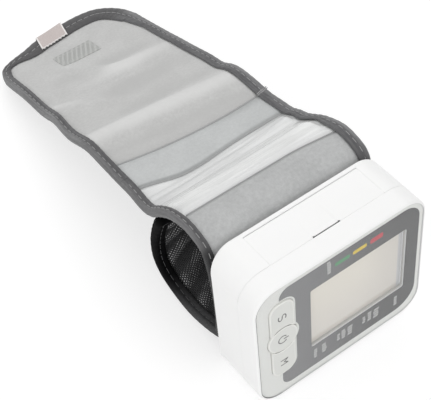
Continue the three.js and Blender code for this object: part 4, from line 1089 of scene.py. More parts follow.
# Distance run, place and direction along a route, with a straight run-out past both ends.
def makeRoute(points):
    line = smoothRoute(points)
    run = np.concatenate([[0], np.cumsum(np.linalg.norm(np.diff(line, axis=0), axis=1))])
    along = unit(np.gradient(line, run, axis=0))
    out = cuff["runOut"]
    line = np.vstack([line[:1] - along[:1] * out, line, line[-1:] + along[-1:] * out])
    return {"length": run[-1], "run": np.concatenate([[-out], run, [run[-1] + out]]), "line": line,
            "along": np.vstack([along[:1], along, along[-1:]])}


# Point at distance s along a route, x across it and n above it.
def routeAt(route, s, x, n):
    s, x, n = np.broadcast_arrays(np.asarray(s, float), np.asarray(x, float), np.asarray(n, float))
    y, z = (np.interp(s, route["run"], route["line"][:, k]) for k in (0, 1))
    ay, az = (np.interp(s, route["run"], route["along"][:, k]) for k in (0, 1))
    size = np.hypot(ay, az)
    return np.stack([x, y - az / size * n, z + ay / size * n], -1)


wallZ = np.linspace(cuff["crease"], case["height"] - case["corner"], 4)
wallPoints = np.stack([saddleY(wallZ, cuff["wallGap"]), wallZ], -1)
behindCase = np.array([case["depth"], case["height"]])
strap = makeRoute(np.vstack([wallPoints, np.array(strapRoute) + behindCase]))
tailStart = [[saddleY(cuff["tailStart"], cuff["wallGap"]), cuff["tailStart"]]]
tail = makeRoute(np.vstack([tailStart, np.array(tailLowRoute) + [case["depth"], 0],
                            np.array(tailHighRoute) + behindCase]))
seamEnd = strap["length"] - cuff["endLength"]
seamMid = seamEnd - cuff["midLength"]
seamFilm = seamMid - cuff["filmLength"]
midMiddle = (seamMid + seamEnd) / 2
print(f"strap {strap['length']:.1f} mm, tail {tail['length']:.1f} mm")


def bell(value, centre, width):
    return np.exp(-((value - centre) / width) ** 2)


def ramp(value, low, high):
    t = np.clip((value - low) / (high - low), 0, 1)
    return t * t * (3 - 2 * t)


# How the open strap lies: small waves in its two edges and soft folds across it, as bells along its length.
# Each edge wave is centre, width and height; each fold also has its slant, and the part across that it fills.
# The tip flattens where it rests on the floor.
strapLie = {"leftWaves": [(87, 8, -0.7), (127, 9, 0.5), (145, 6, -0.5), (156, 6, 1.4), (168, 7, -0.8),
                          (184, 7, 0.5)],
            "rightWaves": [(86, 6.5, 1.7), (99, 8, 0.3), (114, 8, 0.6), (136, 6, -1.4)],
            "folds": [(126, 5.5, 1.5, 0.12, 0.0, 60), (116.5, 5, -0.7, 0.12, 0.0, 60),
                      (138, 6, -0.6, 0.1, 6.0, 28), (166.4, 5, 1.4, 0.02, 10.0, 22),
                      (144.3, 4, 1.0, 0.65, -24.0, 13), (154, 7, -0.8, 0.0, 4.0, 26),
                      (176, 5, -0.7, 0.15, 4.0, 30), (172.6, 4.5, 0.9, 1.03, -4.0, 13),
                      (196, 6, -0.3, 0.1, 0.0, 30)],
            "edgeLoss": 0.6, "restFrom": 207.0, "rest": 0.010, "throughAll": 0.45, "coverOnly": 1.0}
strapHalf = 34.0


def strapFolds(s, x):
    return sum(h * bell(s + slant * x, c, w) * bell(x, middle, reach)
               for c, w, h, slant, middle, reach in strapLie["folds"])


def strapLift(s, x):
    u = np.clip(x / strapHalf, -1, 1)
    left = sum(h * bell(s, c, w) for c, w, h in strapLie["leftWaves"]) * ((1 - u) / 2) ** 2
    right = sum(h * bell(s, c, w) for c, w, h in strapLie["rightWaves"]) * ((1 + u) / 2) ** 2
    tip = strapLie["rest"] * np.maximum(s - strapLie["restFrom"], 0) ** 2
    folds = strapLie["throughAll"] * strapFolds(s, x) * (1 - strapLie["edgeLoss"] * u ** 4)
    return left + right + folds + tip


def strapAt(s, x, n):
    s, x = np.asarray(s, float), np.asarray(x, float)
    return routeAt(strap, s, x, n - cuff["drop"] + strapLift(s, x))


def tailAt(s, x, n):
    return routeAt(tail, s, x, n)


# The strap's plan: each edge starts at one x and steps over by so much between two stations. The tip is a
# skewed round end.
strapPlan = {"left": -35.1, "leftSteps": [(-0.5, 66, 80), (1.25, 82, 108), (1.3, 128, 172)],
             "right": 34.4, "rightSteps": [(-2.8, 125, 200)], "tipFrom": 198.0,
             "tip": [(-32.0, 202.2), (-30.0, 206.4), (-25.0, 209.5), (-17.0, 212.1), (-10.5, 214.4),
                     (-4.0, 215.2), (5.2, 216.6), (13.2, 216.7), (20.4, 215.3), (26.1, 211.3), (29.6, 205.9)]}


def edgeAt(side, s):
    return strapPlan[side] + sum(by * ramp(s, low, high) for by, low, high in strapPlan[side + "Steps"])


# Points every step along a plan path of x and s, with its direction.
def evenPath(x, s, step):
    run = np.concatenate([[0], np.cumsum(np.hypot(np.diff(x), np.diff(s)))])
    at = np.linspace(0, run[-1], max(int(run[-1] / step), 2) + 1)
    px, ps = np.interp(at, run, x), np.interp(at, run, s)
    dx, ds = np.gradient(px, at), np.gradient(ps, at)
    size = np.hypot(dx, ds)
    return {"run": at, "x": px, "s": ps, "alongX": dx / size, "alongS": ds / size}


# The strap's edge as one plan path: up the left side from s, over the tip and back down the right side.
def strapOutline(fromS, step):
    p = strapPlan
    side = np.linspace(fromS, p["tipFrom"], 160)
    left, right = edgeAt("left", side), edgeAt("right", side)
    tip = smoothRoute([(left[-1], p["tipFrom"]), *p["tip"], (right[-1], p["tipFrom"])], 12)
    x = np.concatenate([left[:-1], tip[:, 0], right[::-1][1:]])
    s = np.concatenate([side[:-1], tip[:, 1], side[::-1][1:]])
    return evenPath(x, s, step)


def tailOutline(step):
    r, end, wide = cuff["tailCorner"], tail["length"], cuff["tailHalf"]
    side = np.linspace(cuff["tailEdge"], end - r, 80)
    edge = np.full_like(side, wide)
    corner = arcPoints(r - wide, end - r, r, 180, 90, 12)
    x = np.concatenate([-edge, corner[1:, 0], -corner[::-1, 0], edge[1:]])
    s = np.concatenate([side, corner[1:, 1], corner[::-1, 1], side[::-1][1:]])
    return evenPath(x, s, step)


# Left and right ends of a panel at s, for an edge path moved inwards.
def panelBounds(path, inset):
    x = path["x"] + path["alongS"] * inset
    s = path["s"] - path["alongX"] * inset
    top = int(np.argmax(s))
    left, right = slice(0, top + 1), slice(None, top - 1 if top else None, -1)
    ends = [(np.maximum.accumulate(s[k]), x[k]) for k in (left, right)]
    return (lambda q: tuple(np.interp(q, station, place) for station, place in ends)), s[top]


strapBounds, panelTip = panelBounds(strapOutline(0.0, 0.4), cuff["tuck"])
tailBounds, tailTip = panelBounds(tailOutline(0.4), cuff["tuck"])


# The three seams across the strap, each a gentle curve of its own over u, the share of half the width.
seamCurve = {"film": 0.4, "filmDrop": 2.4, "filmSpan": (0.3, 1.0), "mid": -2.7, "midRise": 4.2,
             "midSpan": (0.4, 1.0), "midDip": 1.3, "midDipAt": (-0.25, 0.33), "end": -3.6, "endSlope": 2.75,
             "endBow": 2.9}


def filmSeam(x):
    c = seamCurve
    return seamFilm + c["film"] - c["filmDrop"] * ramp(x / strapHalf, *c["filmSpan"])


def midSeam(x):
    c, u = seamCurve, x / strapHalf
    return seamMid + c["mid"] + c["midRise"] * ramp(-u, *c["midSpan"]) - c["midDip"] * bell(u, *c["midDipAt"])


def endSeam(x):
    c, u = seamCurve, x / strapHalf
    return seamEnd + c["end"] - c["endSlope"] * u + c["endBow"] * u ** 2


# The two ends of a bend zone, as points of the frame, for fabric that crosses a fold.
def bendZone(at, s0, s1):
    return [toRow(at(s, 0.0, 0.0)).tolist() for s in (s0, s1)]


bend, bendOver = cuff["bend"], cuff["bendOver"]
bends = {"mid": ("monitor", "strap_mid", *bendZone(strapAt, seamMid - bend, seamMid + bendOver)),
         "end": ("strap_mid", "strap_end", *bendZone(strapAt, seamEnd - bendOver, seamEnd + bend)),
         "tail": ("monitor", "cuff_tail", *bendZone(tailAt, 0.0, cuff["tailBend"]))}


# Gives a cuff piece its finish and lets it ride on a body; a piece carried by a bend keeps its place baked into
# its points and rides on no body.
def finishCuff(piece, finish, slot, carriedBy, replaced=()):
    finishPiece(piece, finish, None, replaced)
    if carriedBy in bends:
        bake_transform(piece)
    else:
        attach(piece, carriedBy)
    return piece


# Stores a value at each point of a piece, for its material.
def storeValue(piece, name, values):
    layer = piece.data.attributes.new(name, "FLOAT", "POINT")
    layer.data.foreach_set("value", values.ravel().astype(np.float32))


# A fabric panel: a grid of stations along the strap, closer near its seams, by columns across it. Its height
# rises from the seams and from the tape edges to a low crown, and relief adds what is pressed into it.
quilt = {"crowd": 0.11, "rise": 1.8, "crownFree": (-2.0, 3.0), "reliefFree": (0.0, 1.8), "sink": 0.36,
         "sinkWidth": 1.0}


def makePanel(name, at, s0, s1, bounds, relief=None, rows=60, cols=80, side=1, crown=cuff["crown"],
              tapes=(2.0, 4.2), fold=None):
    q = quilt
    share = np.linspace(0, 1, cols)[None, :]
    guess = (2 * share - 1) * strapHalf
    first, last = (np.broadcast_to(e(guess) if callable(e) else e, guess.shape) for e in (s0, s1))
    t = np.linspace(0, 1, rows)[:, None]
    t = t - q["crowd"] * np.sin(2 * np.pi * t)
    s = first * (1 - t) + last * t
    left, right = bounds(s)
    x = left + (right - left) * share
    fromSeam = np.minimum(s - first, last - s)
    free = np.minimum(x - left - tapes[0], right - x - tapes[1])
    rise = 1 - np.exp(-fromSeam / q["rise"])
    n = cuff["edgeHeight"] + crown * rise * ramp(free, *q["crownFree"])
    n = n - q["sink"] * bell(fromSeam, 0, q["sinkWidth"])
    if relief is not None:
        n = n + relief(s, x) * rise * ramp(free, *q["reliefFree"])
    faces = gridFaces(rows, cols, flip=side < 0)
    piece = meshPiece(name, at(s, x, side * n), faces, np.stack([x, s], -1), sharp=80)
    # The stored fold value is painted light for the finish: a highlight where it is high, shade where it is low.
    if fold is not None:
        storeValue(piece, "fold", fold(s, x))
    return addSolidify(piece, cuff["skin"])


# Wrinkles as a sum of sine waves that wander sideways, from a seeded list of phases.
def wrinkleField(seed, count, pitches, wander, reaches=(25, 60)):
    draw = np.random.default_rng(seed)
    pitch = draw.uniform(*pitches, count)
    phase, drift = draw.uniform(0, 2 * np.pi, (2, count))
    reach = draw.uniform(*reaches, count)

    def field(s, x):
        waves = [np.sin(2 * np.pi * s / p + f + wander * np.sin(2 * np.pi * x / r + d))
                 for p, f, d, r in zip(pitch, phase, drift, reach)]
        return sum(waves) / math.sqrt(count)
    return field


# The film is slack: a low swell on each side of a crease, higher towards its right end, with fine ripples.
# A swell is height, middle and width.
filmSag = {"crease": 19.5, "creaseWidth": 3.2, "creaseDepth": 0.4, "slant": 0.05, "near": (0.55, 10, 6),
           "far": (0.7, 25.5, 4.5), "farLeft": 0.3, "farSpan": (8, 26), "lift": 0.7, "liftSpan": (8, 30),
           "ripple": 0.08}
filmRipple = wrinkleField(4, 6, (2.4, 6.5), 0.8)
pileRipple = wrinkleField(9, 5, (9.0, 22.0), 1.1)
pileHeight = 0.09


def filmRelief(s, x):
    f = filmSag
    d = s - seamFilm
    near, far = (height * bell(d, middle, width) for height, middle, width in (f["near"], f["far"]))
    far = far * (f["farLeft"] + (1 - f["farLeft"]) * ramp(x, *f["farSpan"]))
    swell = (1 + f["lift"] * ramp(x, *f["liftSpan"])) * (near + far)
    crease = f["creaseDepth"] * bell(d - f["slant"] * x, f["crease"], f["creaseWidth"])
    return swell - crease + f["ripple"] * filmRipple(s, x)


def pileRelief(s, x):
    return pileHeight * pileRipple(s, x)


# The end panel's loose fabric takes the larger share of the strap's folds.
def endRelief(s, x):
    return pileRelief(s, x) + strapLie["coverOnly"] * strapFolds(s, x)


# The tail's lining is gathered in slanting pleats with flat bottoms; across is their middle and reach.
ringPleat = {"slant": -0.56, "pitch": 11.0, "depth": 1.9, "bottom": -0.3, "across": (-4, 34)}
meshFinish("pleatMesh", (15, 15, 16), (70, 70, 71), (206, 206, 207), 1.25, pleat=ringPleat)


def liningRelief(s, x):
    p = ringPleat
    wave = np.sin(2 * np.pi * (s + p["slant"] * x) / p["pitch"])
    return p["depth"] * np.maximum(wave, p["bottom"]) * bell(x, *p["across"])


# Painted light along the seams: painted shade darkens fabric that dips into a seam, and a painted highlight makes
# the film palest along its middle; the film is also darker towards the middle panel, and the middle panel darker
# towards its right. Spans count from the seam that they belong to.
seamTone = {"arch": 0.7, "archSpan": (-2.4, -0.6), "filmPale": (12, 4.5),
            "filmNear": 0.9, "filmNearSpan": (0.5, 7.0), "filmFar": 0.6, "filmFarSpan": (15, 23),
            "midNear": 0.75, "midNearSpan": (0.6, 2.2), "midLess": 0.35, "midLessAcross": (-20, 20),
            "midFar": 0.3, "midFarSpan": (-5.0, -0.5), "midRight": 0.2, "midRightAcross": (0, 24),
            "end": 0.6, "endSpan": (0.5, 5.0)}


def archTone(s, x):
    return -seamTone["arch"] * ramp(s - filmSeam(x), *seamTone["archSpan"])


def filmTone(s, x):
    t = seamTone
    d = s - filmSeam(x)
    pale = bell(d - filmSag["slant"] * x, *t["filmPale"])
    near = t["filmNear"] * (1 - ramp(d, *t["filmNearSpan"]))
    return pale - near - t["filmFar"] * ramp(d, *t["filmFarSpan"])


def midTone(s, x):
    t = seamTone
    near = t["midNear"] - t["midLess"] * ramp(x, *t["midLessAcross"])
    near = near * (1 - ramp(s - midSeam(x), *t["midNearSpan"]))
    far = t["midFar"] * ramp(s - endSeam(x), *t["midFarSpan"])
    return -near - far - t["midRight"] * ramp(x, *t["midRightAcross"])


# The end panel's fold heights paint a highlight on its ridges and shade in its dips, with painted shade along its
# seam.
def endTone(s, x):
    return strapFolds(s, x) - seamTone["end"] * (1 - ramp(s - endSeam(x), *seamTone["endSpan"]))


# Makes a panel and gives it its finish as a cuff piece. The seams' curves take from a panel's length or give to
# it.
sheet = {"width": 65.0, "roundEnd": 0.92, "filmTake": 3.0, "midTake": 0.8, "endGive": 2.5, "tailTake": 1.7,
         "liningCrown": 0.3, "tailCrown": 0.7, "tailTapes": (3.4, 3.4), "tailFrom": 0.8}


def addPanel(name, look, nodes, length, under, at, s0, s1, bounds, roundEnd=False, **shape):
    piece = finishCuff(makePanel(name, at, s0, s1, bounds, **shape), *look, nodes)


def makeCovers():
    start = cuff["archStart"]
    addPanel("archPanel", ("loopArch", "loop_fabric", "monitor"), ["ring_cover", "cuff_stiffener"],
             seamFilm - start, "mounting_plate", strapAt, start, filmSeam, strapBounds, relief=pileRelief,
             rows=70, fold=archTone)
    addPanel("filmPanel", ("filmSheet", "film", "mid"), ["film_panel"],
             cuff["filmLength"] - sheet["filmTake"], "air_bladder", strapAt, filmSeam, midSeam, strapBounds,
             relief=filmRelief, rows=110, cols=120, fold=filmTone)
    addPanel("midPanel", ("loopBlue", "loop_fabric", "mid"), ["mid_cover"],
             cuff["midLength"] - sheet["midTake"], "mid_lining", strapAt, midSeam, endSeam, strapBounds,
             relief=pileRelief, rows=46, fold=midTone)
    addPanel("endPanel", ("loopGrey", "loop_fabric", "end"), ["end_cover"],
             panelTip - seamEnd + sheet["endGive"], "end_lining", strapAt, endSeam, panelTip, strapBounds,
             roundEnd=True, relief=endRelief, rows=130, cols=90, fold=endTone)


def makeLinings():
    start = cuff["liningStart"]
    under = {"side": -1, "rows": 100, "crown": sheet["liningCrown"]}
    addPanel("ringLining", ("blackMesh", "black_mesh", "mid"), ["ring_lining", "air_bladder", "mid_lining"],
             midMiddle - start, "mounting_plate", strapAt, start, midMiddle, strapBounds, **under)
    addPanel("endLining", ("blackMesh", "black_mesh", "end"), ["end_lining", "mid_lining"],
             panelTip - midMiddle, "end_cover", strapAt, midMiddle, panelTip, strapBounds, roundEnd=True,
             **under)
    flap = {"at": tailAt, "s0": sheet["tailFrom"], "s1": tailTip, "bounds": tailBounds,
            "crown": sheet["tailCrown"], "tapes": sheet["tailTapes"]}
    length = tail["length"] - sheet["tailTake"]
    addPanel("tailLining", ("pleatMesh", "black_mesh", "tail"), ["tail_lining"], length, "tail_cover",
             relief=liningRelief, rows=90, cols=90, **flap)
    addPanel("tailCover", ("blackMesh", "black_mesh", "tail"), ["tail_cover"], length, "tail_lining",
             relief=pileRelief, rows=70, side=-1, **flap)


makeCovers()
makeLinings()
print("cuff: panels and linings")


# Binding tape: folded over the edge, with a shallow groove where it is sewn. Pairs are the share of the
# tape's width in from the edge and the height, outside first and then back along the fold's inside.
tapeTop = [(-1.0, 0.95), (-0.985, 1.12), (-0.92, 1.28), (-0.8, 1.37), (-0.66, 1.36), (-0.57, 1.28),
           (-0.5, 1.18), (-0.43, 1.28), (-0.33, 1.36), (-0.22, 1.33), (-0.14, 1.16), (-0.06, 0.85),
           (-0.015, 0.45)]
tapeOuter = np.array(tapeTop + [(0.0, 0.0)] + [(o, -n) for o, n in tapeTop[::-1]])
tapeInner = np.array([(-0.985, -0.93), (-0.12, -0.9), (-0.12, 0.9), (-0.985, 0.93)])
tapeProfile = np.vstack([tapeOuter, tapeInner])
# Spans run along the strap, endSpan across its tip. A push is height, middle and width from the film's seam.
# tipDark, leftDark and wallDark darken the binding; along the ring's wall this is painted shade, and on the black
# tail tape the same value makes it paler.
tape = {"ring": 3.1, "left": 4.0, "end": 9.4, "right": 5.0, "tail": 4.6, "tall": 1.25, "tailTall": 1.45,
        "step": 0.7, "leftSpan": (72, 94), "endSpan": (-29.5, -13), "rightSpan": (184, 207),
        "push": [(1.4, 11, 5), (0.8, 26, 3.5)], "tipDark": (198, 207), "leftDark": 0.5,
        "leftDarkSpan": (112, 152), "wallDark": 0.8, "wallSpan": (43, 56), "tailSpan": (10, 46)}
stitch = {"across": -0.5, "pitch": 3.4, "length": 2.3, "radius": 0.16, "height": 1.24, "pucker": 0.05}


def leftTape(s):
    return tape["ring"] + (tape["left"] - tape["ring"]) * ramp(s, *tape["leftSpan"])


# The slack film pushes the right-hand tape's inner edge outwards in two places.
def rightTape(s):
    return tape["right"] - sum(h * bell(s - seamFilm, c, w) for h, c, w in tape["push"])


def tipTape(x, s):
    left = tape["left"] + (tape["end"] - tape["left"]) * ramp(x, *tape["endSpan"])
    right = tape["right"] + (tape["end"] - tape["right"]) * ramp(s, *tape["rightSpan"])
    return np.where(x > 0, right, left)


# The tape's section carried along a plan path; outward is 1 where the outside is on the path's left. The stored
# value says how dark it is: at the tip, along the left side, and along the wall, where it is painted shade between
# the case and the strap.
def makeTape(name, path, at, outward, width, tall, lightAndTone):
    outX, outS = -path["alongS"] * outward, path["alongX"] * outward
    o = tapeProfile[:, 0] * np.broadcast_to(width, len(path["run"]))[:, None]
    n = tapeProfile[:, 1] * tall
    pull = 1 + stitch["pucker"] * np.cos(2 * np.pi * path["run"] / stitch["pitch"])
    s = path["s"][:, None] + outS[:, None] * o
    x = path["x"][:, None] + outX[:, None] * o
    points = at(s, x, n * pull[:, None])
    girth = np.concatenate([[0], np.cumsum(np.hypot(np.diff(tapeProfile[:, 0] * tape["tail"]), np.diff(n)))])
    uv = np.stack(np.broadcast_arrays(girth[None, :], path["run"][:, None]), -1)
    piece = ringStack(name, points, uv, sharp=70)
    dark = ramp(path["s"], *tape["tipDark"]) + tape["wallDark"] * (1 - ramp(path["s"], *lightAndTone))
    dark = dark + tape["leftDark"] * (path["x"] < 0) * (1 - ramp(path["s"], *tape["leftDarkSpan"]))
    storeValue(piece, "dark", np.broadcast_to(dark[:, None], o.shape))
    return piece


# Stitches: six-sided spindles of five rings, one for each place, all computed at once.
spindle = {"reach": [-1, -0.8, 0, 0.8, 1], "girth": [0.3, 0.85, 1, 0.85, 0.3], "sides": 6, "uvStep": 0.2}


def makeStitches(name, centre, along, up, length, radius):
    rings, sides = len(spindle["reach"]), spindle["sides"]
    along = unit(along)
    side = unit(np.cross(along, up))
    up = np.cross(side, along)
    reach = np.array(spindle["reach"]) * length / 2
    girth = np.array(spindle["girth"]) * radius
    turn = np.linspace(0, 2 * np.pi, sides, endpoint=False)
    ring = side[:, None, :] * np.cos(turn)[:, None] + up[:, None, :] * np.sin(turn)[:, None]
    points = (centre[:, None, None, :] + along[:, None, None, :] * reach[:, None, None]
              + ring[:, None, :, :] * girth[:, None, None])
    one = gridFaces(rings, sides, wrapCols=True)
    one += [list(range(sides - 1, -1, -1)), list(range((rings - 1) * sides, rings * sides))]
    faces = [[v + k * rings * sides for v in face] for k in range(len(centre)) for face in one]
    uv = np.stack(np.broadcast_arrays(np.arange(sides) * spindle["uvStep"], reach[:, None]), -1)
    uv = np.broadcast_to(uv, (len(centre), rings, sides, 2))
    return meshPiece(name, points, faces, uv, sharp=80, outward=True)


# Both rows of stitches on a tape, on its upper and lower face.
def sewTape(name, path, at, outward, width, tall):
    rows = []
    place = np.arange(stitch["pitch"], path["run"][-1] - stitch["pitch"], stitch["pitch"])
    x, s, ax, az = (np.interp(place, path["run"], path[k]) for k in ("x", "s", "alongX", "alongS"))
    width = np.interp(place, path["run"], np.broadcast_to(width, len(path["run"])))
    inwards = width * stitch["across"] * outward
    x = x - az * inwards
    s = s + ax * inwards
    step = 0.2  # either way along the path, to find the surface's directions
    for sign in (1, -1):
        n = sign * stitch["height"] * tall
        centre = at(s, x, n)
        along = at(s + az * step, x + ax * step, n) - at(s - az * step, x - ax * step, n)
        up = at(s, x, n + sign * step) - centre
        rows.append((centre, along, up))
    centre, along, up = (np.vstack(v) for v in zip(*rows))
    return makeStitches(name, centre, along, up, stitch["length"], stitch["radius"])


# A tape with its stitches, along one path.
def bindEdge(part, side, path, at, outward, width, tall, lightAndTone, looks, slot, carriedBy, nodes):
    binding = makeTape(f"{part}Binding{side}", path, at, outward, width, tall, lightAndTone)
    finishCuff(binding, looks[0], slot, carriedBy, nodes)
    thread = sewTape(f"{part}Stitches{side}", path, at, outward, width, tall)
    finishCuff(thread, looks[1], slot, carriedBy)


def makeBindings():
    strapTape = {"tall": tape["tall"], "lightAndTone": tape["wallSpan"], "looks": ("bindingTape", "paleThread"),
                 "slot": "binding"}
    for name, outward, widthAt in [("left", 1, leftTape), ("right", -1, rightTape)]:
        s = np.linspace(cuff["ringStart"], midMiddle, 200)
        path = evenPath(edgeAt(name, s), s, tape["step"])
        nodes = [f"ring_binding_{name}", f"mid_binding_{name}"]
        bindEdge("near", name.title(), path, strapAt, outward, widthAt(path["s"]), carriedBy="mid",
                 nodes=nodes, **strapTape)
    path = strapOutline(midMiddle, tape["step"])
    nodes = ["end_binding", "mid_binding_left", "mid_binding_right"]
    bindEdge("far", "", path, strapAt, 1, tipTape(path["x"], path["s"]), carriedBy="end", nodes=nodes,
             **strapTape)
    path = tailOutline(tape["step"])
    bindEdge("tail", "", path, tailAt, 1, tape["tail"], tape["tailTall"], tape["tailSpan"],
             ("blackTape", "darkThread"), "black_mesh", "tail", ["tail_binding"])


makeBindings()
print("cuff: bindings and stitches")


# Seam cords: a thin sewn line sunk between two panels, carried across the strap.
cord = {"left": -31.0, "right": 29.0, "flat": 0.8}


def makeSeam(name, line, height, radius, carriedBy):
    x = np.linspace(cord["left"], cord["right"], 110)
    turn = np.linspace(0, 2 * np.pi, 8, endpoint=False)
    s = line(x)[:, None] + radius * np.cos(turn)
    points = strapAt(s, x[:, None], height + radius * cord["flat"] * np.sin(turn))
    uv = np.stack(np.broadcast_arrays(turn * radius, x[:, None]), -1)
    finishCuff(ringStack(name, points, uv, sharp=80), "seamThread", "loop_fabric", carriedBy)


makeSeam("filmSeamCord", filmSeam, 0.32, 0.3, "monitor")
makeSeam("midSeamCord", midSeam, 0.24, 0.55, "mid")
makeSeam("endSeamCord", endSeam, 0.3, 0.45, "end")


# Pull tab: its cross-section runs over the strap's skewed end, and its sewn edges are pinked in small teeth.
tab = {"centre": -2.4, "width": 13.3, "length": 10.0, "height": 1.84, "thickness": 0.4, "tooth": 0.7,
       "toothDepth": 1.5, "pitch": 1.7, "skew": 2.2, "turnFrom": -1.1, "turn": 1.4, "rows": 14}


def makeTab():
    tip = strapOutline(strapPlan["tipFrom"], 0.4)
    trim = 40  # points at both ends of the tip's path that lie on the strap's sides
    x = np.linspace(-0.5, 0.5, 60) * tab["width"] + tab["centre"]
    end = np.interp(x, tip["x"][trim:-trim], tip["s"][trim:-trim])
    turn = np.linspace(0.5 * np.pi, -0.5 * np.pi, 15)[1:-1]
    flat = np.linspace(-tab["length"], tab["turnFrom"], tab["rows"])
    level = np.full(tab["rows"], tab["height"])
    s = np.concatenate([flat, tab["turnFrom"] + tab["turn"] * np.cos(turn), flat[::-1]])
    n = np.concatenate([level, tab["height"] * np.sin(turn), -level])
    tooth = tab["tooth"] * np.abs((x / tab["pitch"]) % 1 * 2 - 1)
    pull = np.clip(1 - (s - flat[0]) / tab["toothDepth"], 0, 1)[:, None] * tooth
    shape = strapAt(s[:, None] + end + pull, x + tab["skew"] * s[:, None] / tab["length"], n[:, None])
    girth = np.concatenate([[0], np.cumsum(np.hypot(np.diff(s), np.diff(n)))])
    uv = np.stack(np.broadcast_arrays(x[None, :] - tab["centre"], girth[:, None]), -1)
    piece = meshPiece("pullTab", shape, gridFaces(len(s), len(x)), uv, sharp=60)
    finishCuff(addSolidify(piece, tab["thickness"], 1.0), "tabTape", "tab", "strap_end", ["pull_tab"])


# Stations and places of a rectangular patch, with the distance from its nearest edge.
def patchGrid(low, high, left, right, rows, cols):
    s, x = np.meshgrid(np.linspace(low, high, rows), np.linspace(left, right, cols), indexing="ij")
    return s, x, np.minimum(np.minimum(s - low, high - s), np.minimum(x - left, right - x))


# Ribbed patch: slanting ribs within a sewn border. On its cut map the first value runs across the ribs; a painted
# highlight makes their tops paler than the grooves, which take painted shade.
patch = {"centre": -2.2, "width": 17.5, "length": 10.4, "fromEnd": 17.9, "ribs": 8, "rib": 0.4, "slant": -0.5,
         "lift": 0.3, "border": (1.2, 2.0), "ribSpan": (-0.4, 0.7), "groove": 0.16, "grooveAt": (0.8, 0.5),
         "skin": 0.4, "fibre": 0.5, "fibreShare": 0.3, "paleSpan": (-0.6, 0.7), "depth": 0.05}


def makePatchGrey():
    p = patch
    tree, shader = newMaterial("patchGrey", roughness=0.9, sheen=0.2, specular=0.2)
    place = cutPlace(tree)
    nap = placed(tree, brushedNap, Place=place, Fibre=p["fibre"])
    turn = maths(tree, "MULTIPLY", axes(tree, place)[0], 2 * math.pi * p["ribs"] / p["width"])
    pale = remap(tree, maths(tree, "COSINE", turn), *p["paleSpan"])
    ribs = mixColour(tree, pale, (172, 173, 171), (188, 189, 187))
    shade = mixColour(tree, maths(tree, "MULTIPLY", nap["Tone"], p["fibreShare"]), ribs, (178, 180, 177))
    dress(tree, shader, shade, nap["Height"], p["depth"])


def makePatch():
    p = patch
    to = strap["length"] - p["fromEnd"]
    left = p["centre"] - p["width"] / 2
    s, x, edge = patchGrid(to - p["length"], to, left, left + p["width"], 40, 90)
    across = x - p["centre"] + p["slant"] * (s - to + p["length"] / 2)
    wave = np.cos(2 * np.pi * across * p["ribs"] / p["width"])
    rise = ramp(edge, *p["border"]) * p["rib"] * ramp(wave, *p["ribSpan"])
    rise = rise - p["groove"] * bell(edge, *p["grooveAt"])
    points = strapAt(s, x, cuff["edgeHeight"] + cuff["crown"] + p["lift"] + endRelief(s, x) + rise)
    piece = meshPiece("ribbedPatch", points, gridFaces(*s.shape), np.stack([across, s - to], -1), sharp=80)
    finishCuff(addSolidify(piece, p["skin"]), "patchGrey", "loop_fabric", "strap_end", ["ribbed_patch"])


# Hook patch under the strap's end: a low pad whose face is covered in small round hook tips.
hook = {"half": 25.0, "length": 44.0, "fromEnd": 9.5, "thickness": 0.5, "pile": 0.12, "pitch": 1.6,
        "lift": 0.35, "edge": (0.0, 0.5), "border": (1.2, 2.0), "groove": 0.15, "grooveAt": (1.3, 0.5),
        "skin": 0.4}


def makeHookPatch():
    h = hook
    to = strap["length"] - h["fromEnd"]
    s, x, edge = patchGrid(to - h["length"], to, -h["half"], h["half"], 112, 127)
    tips = np.sin(2 * np.pi * s / h["pitch"]) * np.sin(2 * np.pi * x / h["pitch"])
    pad = ramp(edge, *h["edge"]) * h["thickness"] - h["groove"] * bell(edge, *h["grooveAt"])
    rise = pad + ramp(edge, *h["border"]) * h["pile"] * tips
    points = strapAt(s, x, -(cuff["edgeHeight"] + h["lift"] + rise))
    piece = meshPiece("hookPatch", points, gridFaces(*s.shape, flip=True), np.stack([x, s], -1), sharp=80)
    finishCuff(addSolidify(piece, h["skin"]), "hookTape", "black_mesh", "strap_end", ["hook_patch"])


# A tack of pale thread across the right-hand binding.
tack = {"at": [108.0, 108.8], "height": 1.45, "above": 3.0, "slant": 0.2, "half": 1.0, "length": 5.6,
        "radius": 0.3}


def makeTack():
    t = tack
    s = np.array(t["at"])
    x = edgeAt("right", s) + tape["right"] * stitch["across"]
    centre = strapAt(s, x, t["height"])
    ends = [strapAt(s + way * t["slant"], x + way * t["half"], t["height"]) for way in (1, -1)]
    up = strapAt(s, x, t["above"]) - centre
    thread = makeStitches("bindingTack", centre, ends[0] - ends[1], up, t["length"], t["radius"])
    finishCuff(thread, "paleThread", "binding", "end")


makeTab()
makePatchGrey()
makePatch()
makeHookPatch()
makeTack()
print("cuff: tab, patches, seams")


# CAD pieces that stay as they are, with finishes of their own
cadFinishes = {"displayGlass": ["display_glass"], "wellWall": ["display_reflector"],
               "darkPart": ["contact_strip_upper", "contact_strip_lower", "set_switch", "power_switch",
                            "memory_switch", "pump_head", "exhaust_valve", "pressure_sensor", "buzzer",
                            "mounting_plate", "cuff_nozzle"],
               "greenBoard": ["main_board"],
               "milkSilicone": ["air_manifold", "pump_tube", "valve_tube", "sensor_tube"],
               "platedSteel": ["casing_screw_lower_left", "casing_screw_upper_left",
                               "casing_screw_lower_right", "casing_screw_upper_right", "contact_link",
                               "contact_positive", "contact_negative", "pump_motor"],
               "cellSleeve": ["battery_upper", "battery_lower"]}
for finish, names in cadFinishes.items():
    for name in names:
        mesh = frame["nodes"][name].data
        mesh.materials.clear()
        mesh.materials.append(bpy.data.materials[finish])
print("CAD finishes:", sum(len(names) for names in cadFinishes.values()), "nodes")


